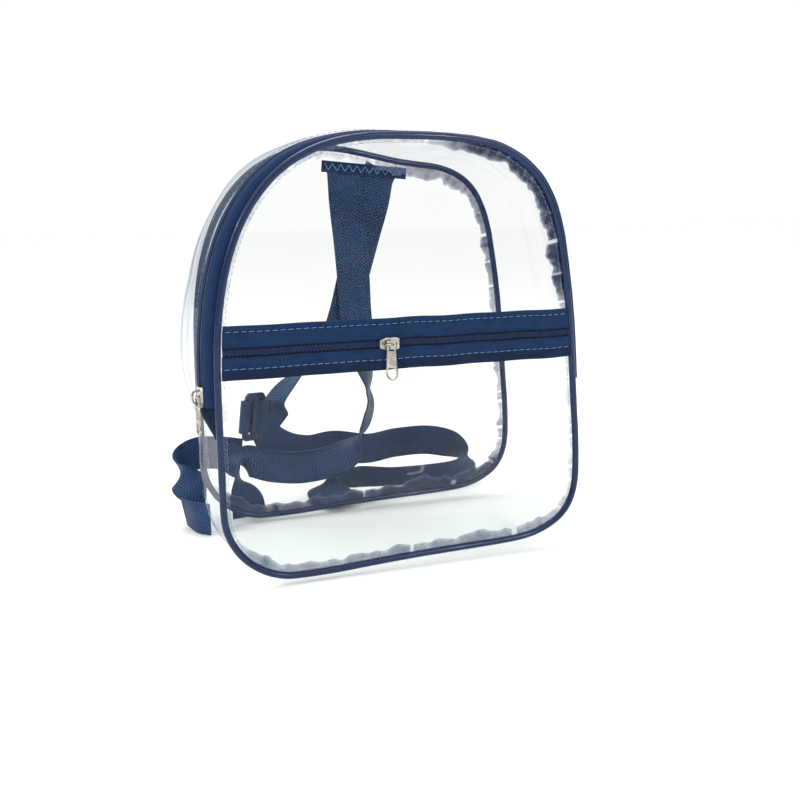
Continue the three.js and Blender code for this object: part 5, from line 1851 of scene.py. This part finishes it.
@dataclass
class Hardware:
    """Sliders, pulls and the adjuster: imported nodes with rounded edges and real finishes."""

    outline: Outline
    pull_length: float = 27.5
    pull_width: float = 9.4
    pull: float = 1.1
    pull_bar: float = 1.2
    pull_turn: float = math.radians(45)
    pocket_slider_at: float = -0.122
    slider_plate: float = 1.2
    slider_length: float = 14.0
    bridge_bar: float = 1.5
    bridge_rise: float = 4.3
    ribs: int = 6
    rib_radius: float = 0.42
    rib_margin: float = 0.45
    rib_rows: tuple[float, float] = (0.285, 0.055)
    rib_halves: tuple[float, float] = (0.355, 0.008)
    metal_edge: float = 0.28
    plastic_edge: float = 0.5

    def soften(self, node: str, width: float, finish: Finish) -> None:
        """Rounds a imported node's edges and dresses it.

        Args:
            node: Name of the node.
            width: Width of the rounding in millimetres.
            finish: Its finish.
        """
        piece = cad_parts[node]
        bevel = piece.modifiers.new("soft_edges", "BEVEL")
        bevel.width = width * MM
        bevel.segments = 3
        bevel.limit_method = "ANGLE"
        bevel.angle_limit = math.radians(35)
        bevel.harden_normals = False
        finish.dress(piece)
        log.info("%s: kept, %s", node, finish.name)

    def rib_rods(self, name: str, origin: Vector, along: Vector, across: Vector, body: Body) -> None:
        """Adds the cross ribs on both faces of a pull's plate.

        Args:
            name: Name of the piece.
            origin: Middle of the pull's bar, in millimetres.
            along: Way up the pull.
            across: Way across it.
            body: Body that the pull is.
        """
        out = along.cross(across)
        starts, ends, lifts = [], [], []
        for k in range(self.ribs):
            down = self.pull_length * (self.rib_rows[0] + self.rib_rows[1] * k)
            half = self.pull_width * (self.rib_halves[0] + self.rib_halves[1] * k) - self.rib_margin
            for face in (-1, 1):
                middle = origin - along * down + out * (face * self.pull / 2)
                starts.append(middle - across * half)
                ends.append(middle + across * half)
                lifts.append(out * face)
        piece = many_rods(name, np.array(starts), np.array(ends), np.array(lifts, dtype=float),
                         self.rib_radius)
        settle(piece, PLATE, body)

    def build(self) -> None:
        """Dresses the kept nodes and adds the pulls' ribs."""
        for node in ("pocket_slider", "main_slider", "pocket_pull", "main_pull"):
            self.soften(node, self.metal_edge, PLATE)
        self.soften("adjuster_left", self.plastic_edge, ACETAL)
        upright = Vector((0, 0, 1))
        top = COIL_HEIGHT / 2 + GAP + self.slider_plate
        over_bar = (self.bridge_bar + self.pull_bar) / 2 + GAP
        origin = Vector((self.pocket_slider_at * HALF_WIDTH, BAND_LEVEL - top - self.bridge_rise,
                         POCKET_TEETH + over_bar))
        turned = Vector((-math.cos(self.pull_turn), math.sin(self.pull_turn), 0))
        self.rib_rods("pocket_pull_ribs", origin, upright, turned, Body.POCKET_PULL)
        at = self.outline.stations(np.array([self.outline.zip_finish - self.slider_length / 2]))
        ahead = self.outline.wall_point(at, np.array([ZIP_DEPTH + 1]), 0 * at.x)[0]
        before = self.outline.wall_point(at, np.array([ZIP_DEPTH - 1]), 0 * at.x)[0]
        across = Vector(ahead - before)
        across.z = 0
        across.normalize()
        away = upright.cross(across)
        out = self.outline.wall_rise(at, ZIP_DEPTH / DEPTH) - TAPE_UNDER_WALL
        place = Vector(self.outline.between_beads(at, np.array([ZIP_DEPTH]), out)[0])
        place = place + away * (top + math.hypot(self.pull, self.pull_bar) / 2 + GAP)
        self.rib_rods("main_pull_ribs", place, upright, across, Body.MAIN_PULL)


@dataclass
class Strap:
    """A length of webbing along a route."""

    name: str
    route: Sequence[tuple]
    replaces: str
    width: float = WEBBING_WIDTH
    thickness: float = WEBBING
    tuck: Sequence[tuple] = ()

    def bends(self, rows: Sequence[tuple]) -> tuple[np.ndarray, np.ndarray]:
        """Places and width directions of a route's rows, in millimetres.

        Args:
            rows: The route's rows.

        Returns:
            The places and the width directions, one row for each bend.
        """
        table = np.array(rows, dtype=float)
        places = table[:, :3] * (HALF_WIDTH, DEPTH, HEIGHT) + (0, HALF_DEPTH, 0)
        widths = table[:, 3:] / np.linalg.norm(table[:, 3:], axis=1)[:, None]
        return places, widths

    def run(self, places: np.ndarray, widths: np.ndarray, fine: int = 12) -> tuple[np.ndarray, np.ndarray]:
        """Smooth run through bends, its width turning evenly between them.

        Args:
            places: The bends.
            widths: Way that the width lies at each.
            fine: Sections from bend to bend.

        Returns:
            The places and the width directions of the sections.
        """
        line = centripetal_curve(places, False, fine)
        at = np.arange(len(line)) / fine
        turned = np.stack([np.interp(at, np.arange(len(widths)), widths[:, k]) for k in range(3)], axis=-1)
        return line, turned

    def topped(self) -> list:
        """The route, with the end that is tucked behind the strip at the top."""
        return [*self.tuck, *self.route]

    def sections(self) -> tuple[np.ndarray, np.ndarray]:
        """Places and width directions all along."""
        return self.run(*self.bends(self.topped()))

    def build(self, finish: Finish = STRAP) -> None:
        """Builds and dresses the strap.

        Args:
            finish: Its finish.
        """
        places, widths = self.sections()
        grid = sweep(places, widths, rounded_section(self.width, self.thickness))
        grid[..., 2] = np.maximum(grid[..., 2], 0)
        settle(grid_piece(self.name, grid, wrap_columns=True, capped=True), finish, replaces=[self.replaces])


@dataclass
class LacedStrap(Strap):
    """The left strap: down to its adjuster, through it, and on as a loose tail."""

    tail: Sequence[tuple] = ()
    plate: float = 22.0
    bar: float = 4.0
    rim: float = 3.0
    plate_thickness: float = 2.4

    def lace(self) -> tuple[np.ndarray, np.ndarray]:
        """Webbing through the adjuster.

        Returns:
            Places and width directions of its bends.
        """
        origin = np.array([-0.61 * HALF_WIDTH, HALF_DEPTH + 0.215 * DEPTH, 0.28 * HEIGHT])
        travel = np.array([-0.75, -0.5, 0.1])
        travel /= np.linalg.norm(travel)
        bars = np.array([0.1, 0, 0.99])
        bars = bars / np.linalg.norm(bars)
        bars -= bars.dot(travel) * travel
        bars /= np.linalg.norm(bars)
        out = np.cross(bars, travel)
        level = self.plate_thickness / 2 + WEBBING / 2 + GAP
        back = -(level + WEBBING + 2 * GAP)
        half = self.plate / 2
        near, far = self.bar / 2 + 2 * GAP, half - self.rim - 2 * GAP
        offsets = [
            (-half - 5.5, level + WEBBING), (-half, level), (-far, level), (-near, -level), (near, -level),
            (far, level), (half + 0.6, level), (half + 2.1, (level + back) / 2), (half + 0.6, back),
            (-half, back),
        ]
        places = np.array([origin + travel * a + out * o for a, o in offsets])
        return places, np.tile(bars, (len(places), 1))

    def sections(self) -> tuple[np.ndarray, np.ndarray]:
        """Places and width directions from the top to the end of the tail.

        Returns:
            The places and the width directions of the sections.
        """
        laced, bars = self.lace()
        upper = self.bends(self.topped())
        lower = self.bends(self.tail)
        down = self.run(np.concatenate([upper[0], laced[:1]]), np.concatenate([upper[1], bars[:1]]))
        steps = [(k, share) for k in range(len(laced) - 1) for share in (0.2, 0.5, 0.8)]
        through = [laced[k] + (laced[k + 1] - laced[k]) * share for k, share in steps]
        on = self.run(np.concatenate([laced[-1:], lower[0]]), np.concatenate([bars[-1:], lower[1]]))
        places = np.concatenate([down[0], np.array(through), on[0]])
        widths = np.concatenate([down[1], np.tile(bars[0], (len(through), 1)), on[1]])
        return places, widths


@dataclass
class TopAnchor:
    """Narrow bound strip that holds both straps at the top of the back."""

    strip: Strap
    zigzag: float = 3.4
    rise: float = 2.6

    def stitches(self) -> bpy.types.Object:
        """Builds the zigzag of stitches along the strip.

        Returns:
            The stitches, one piece.
        """
        places, widths = self.strip.sections()
        run = np.concatenate([[0], np.cumsum(np.linalg.norm(np.diff(places, axis=0), axis=1))])
        wanted = np.arange(2, run[-1] - 2, self.zigzag)
        line = np.stack([np.interp(wanted, run, places[:, k]) for k in range(3)], axis=-1)
        side = np.where(np.arange(len(wanted)) % 2 == 0, 1, -1)[:, None] * np.array([0, 0, self.rise])
        points = line + side
        made = []
        for face in (-1, 1):
            made.append((points[:-1] + (0, face * 0.95, 0), points[1:] + (0, face * 0.95, 0), face))
        starts = np.concatenate([m[0] for m in made])
        ends = np.concatenate([m[1] for m in made])
        lift = np.concatenate([np.tile([0.0, float(m[2]), 0.0], (len(m[0]), 1)) for m in made])
        return many_rods("top_anchor_stitches", starts, ends, lift, 0.3, flat=0.8)

    def build(self) -> None:
        """Builds and dresses the strip and its stitches."""
        self.strip.build(TAPE)
        settle(self.stitches(), THREAD)


@dataclass
class Studio:
    """Pale floor, soft light and the camera."""

    camera_at: tuple = (-0.22068, -0.66033, 0.26757)
    azimuth: float = 0.3443
    down: float = 0.2214
    roll: float = -0.0068
    lens: float = 41.47
    horizon_light: float = 0.22
    ceiling_light: float = 1.32

    def floor(self) -> None:
        """Lays the floor."""
        size = 6000.0
        corners = np.array([[-size, -size, 0], [size, -size, 0], [size, size, 0], [-size, size, 0]])
        piece = finish_mesh("studio_floor", corners - (0, 0, 0.05), [(0, 1, 2, 3)], None)
        BOARD.dress(piece)

    def world(self) -> None:
        """Lights the room like a light tent: white to the eye, brightest overhead."""
        world = bpy.data.worlds.new("white_room")
        world.use_nodes = True
        tree = world.node_tree
        tree.nodes.clear()
        way = add_node(tree, "ShaderNodeTexCoord").outputs["Generated"]
        parts = add_node(tree, "ShaderNodeSeparateXYZ", links={0: way})
        overhead = add_node(tree, "ShaderNodeMapRange", {
            "From Min": 0.0, "From Max": 0.85, "To Min": self.horizon_light, "To Max": self.ceiling_light,
        }, {"Value": parts.outputs["Z"]})
        seen = add_node(tree, "ShaderNodeLightPath").outputs["Is Camera Ray"]
        strength = add_node(tree, "ShaderNodeMix", {3: 1.04}, {0: seen, 2: overhead.outputs[0]})
        lit = add_node(tree, "ShaderNodeBackground", {"Color": linear("#ffffff")},
                       {"Strength": strength.outputs[0]})
        add_node(tree, "ShaderNodeOutputWorld", links={"Surface": lit.outputs[0]})
        bpy.context.scene.world = world

    def lamp(self, name: str, place: tuple, aim: tuple, size: float, power: float) -> None:
        """Adds a soft box.

        Args:
            name: Name of the lamp.
            place: Where it hangs, in metres.
            aim: Where it points.
            size: Side of its square face.
            power: Watts.
        """
        lamp = bpy.data.lights.new(name, "AREA")
        lamp.size = size
        lamp.energy = power
        light = bpy.data.objects.new(name, lamp)
        light.location = place
        light.rotation_euler = (Vector(aim) - Vector(place)).to_track_quat("-Z", "Y").to_euler()
        bpy.context.scene.collection.objects.link(light)

    def camera(self) -> None:
        """Sets the camera at the photograph's angle."""
        azimuth, down, roll = self.azimuth, self.down, self.roll
        level = math.cos(down)
        ahead = Vector((math.sin(azimuth) * level, math.cos(azimuth) * level, -math.sin(down)))
        right = ahead.cross(Vector((0, 0, 1))).normalized()
        up = right.cross(ahead)
        side = right * math.cos(roll) + up * math.sin(roll)
        top = up * math.cos(roll) - right * math.sin(roll)
        lens = bpy.data.cameras.new("photo_camera")
        lens.lens = self.lens
        lens.sensor_width = 36.0
        lens.dof.use_dof = False
        camera = bpy.data.objects.new("photo_camera", lens)
        turned = Matrix((side, top, -ahead)).transposed().to_4x4()
        camera.matrix_world = Matrix.Translation(self.camera_at) @ turned
        bpy.context.scene.collection.objects.link(camera)
        bpy.context.scene.camera = camera

    def build(self) -> None:
        """Builds the studio."""
        self.floor()
        self.world()
        self.lamp("top_box", (-0.1, 0.5, 1.3), (0, 0, 0.05), 0.6, 6)
        self.lamp("streak_box", (0.75, -1.7, 0.85), (0, 0, 0.15), 0.11, 8)
        self.lamp("left_box", (-1.3, -0.1, 0.9), (0, 0, 0.15), 0.12, 5)
        self.camera()
        view = bpy.context.scene.view_settings
        view.view_transform = "Standard"
        view.look = "None"


def main() -> None:
    """Builds the bag piece by piece, then the studio."""
    logging.basicConfig(level=logging.INFO, format="%(message)s")
    outline = Outline()
    Studio().build()
    Piping("front", outline, FRONT, 1, "front_piping").build()
    Piping("back", outline, BACK, -1, "back_piping").build()
    ClearSheets(outline).build()
    SideWall(outline).build()
    MainZip(outline).build()
    PocketZip(outline).build()
    Hardware(outline).build()
    LacedStrap("left_strap", LEFT_UPPER_ROUTE, "shoulder_strap_left", tail=LEFT_TAIL_ROUTE,
                tuck=[(0.2, 0.046, 0.958, 1, 0, -0.16)]).build()
    Strap("right_strap", RIGHT_ROUTE, "shoulder_strap_right",
          tuck=[(-0.045, 0.034, 0.966, 1, 0, -0.08)]).build()
    Strap("corner_ring", RING_ROUTE, "corner_ring_left").build()
    Strap("corner_tab", TAB_ROUTE, "corner_tab_left", width=WEBBING_WIDTH * 0.95).build()
    TopAnchor(Strap("anchor_strip", ANCHOR_ROUTE, "top_anchor", width=9.0, thickness=1.2)).build()


if __name__ == "__main__":
    main()
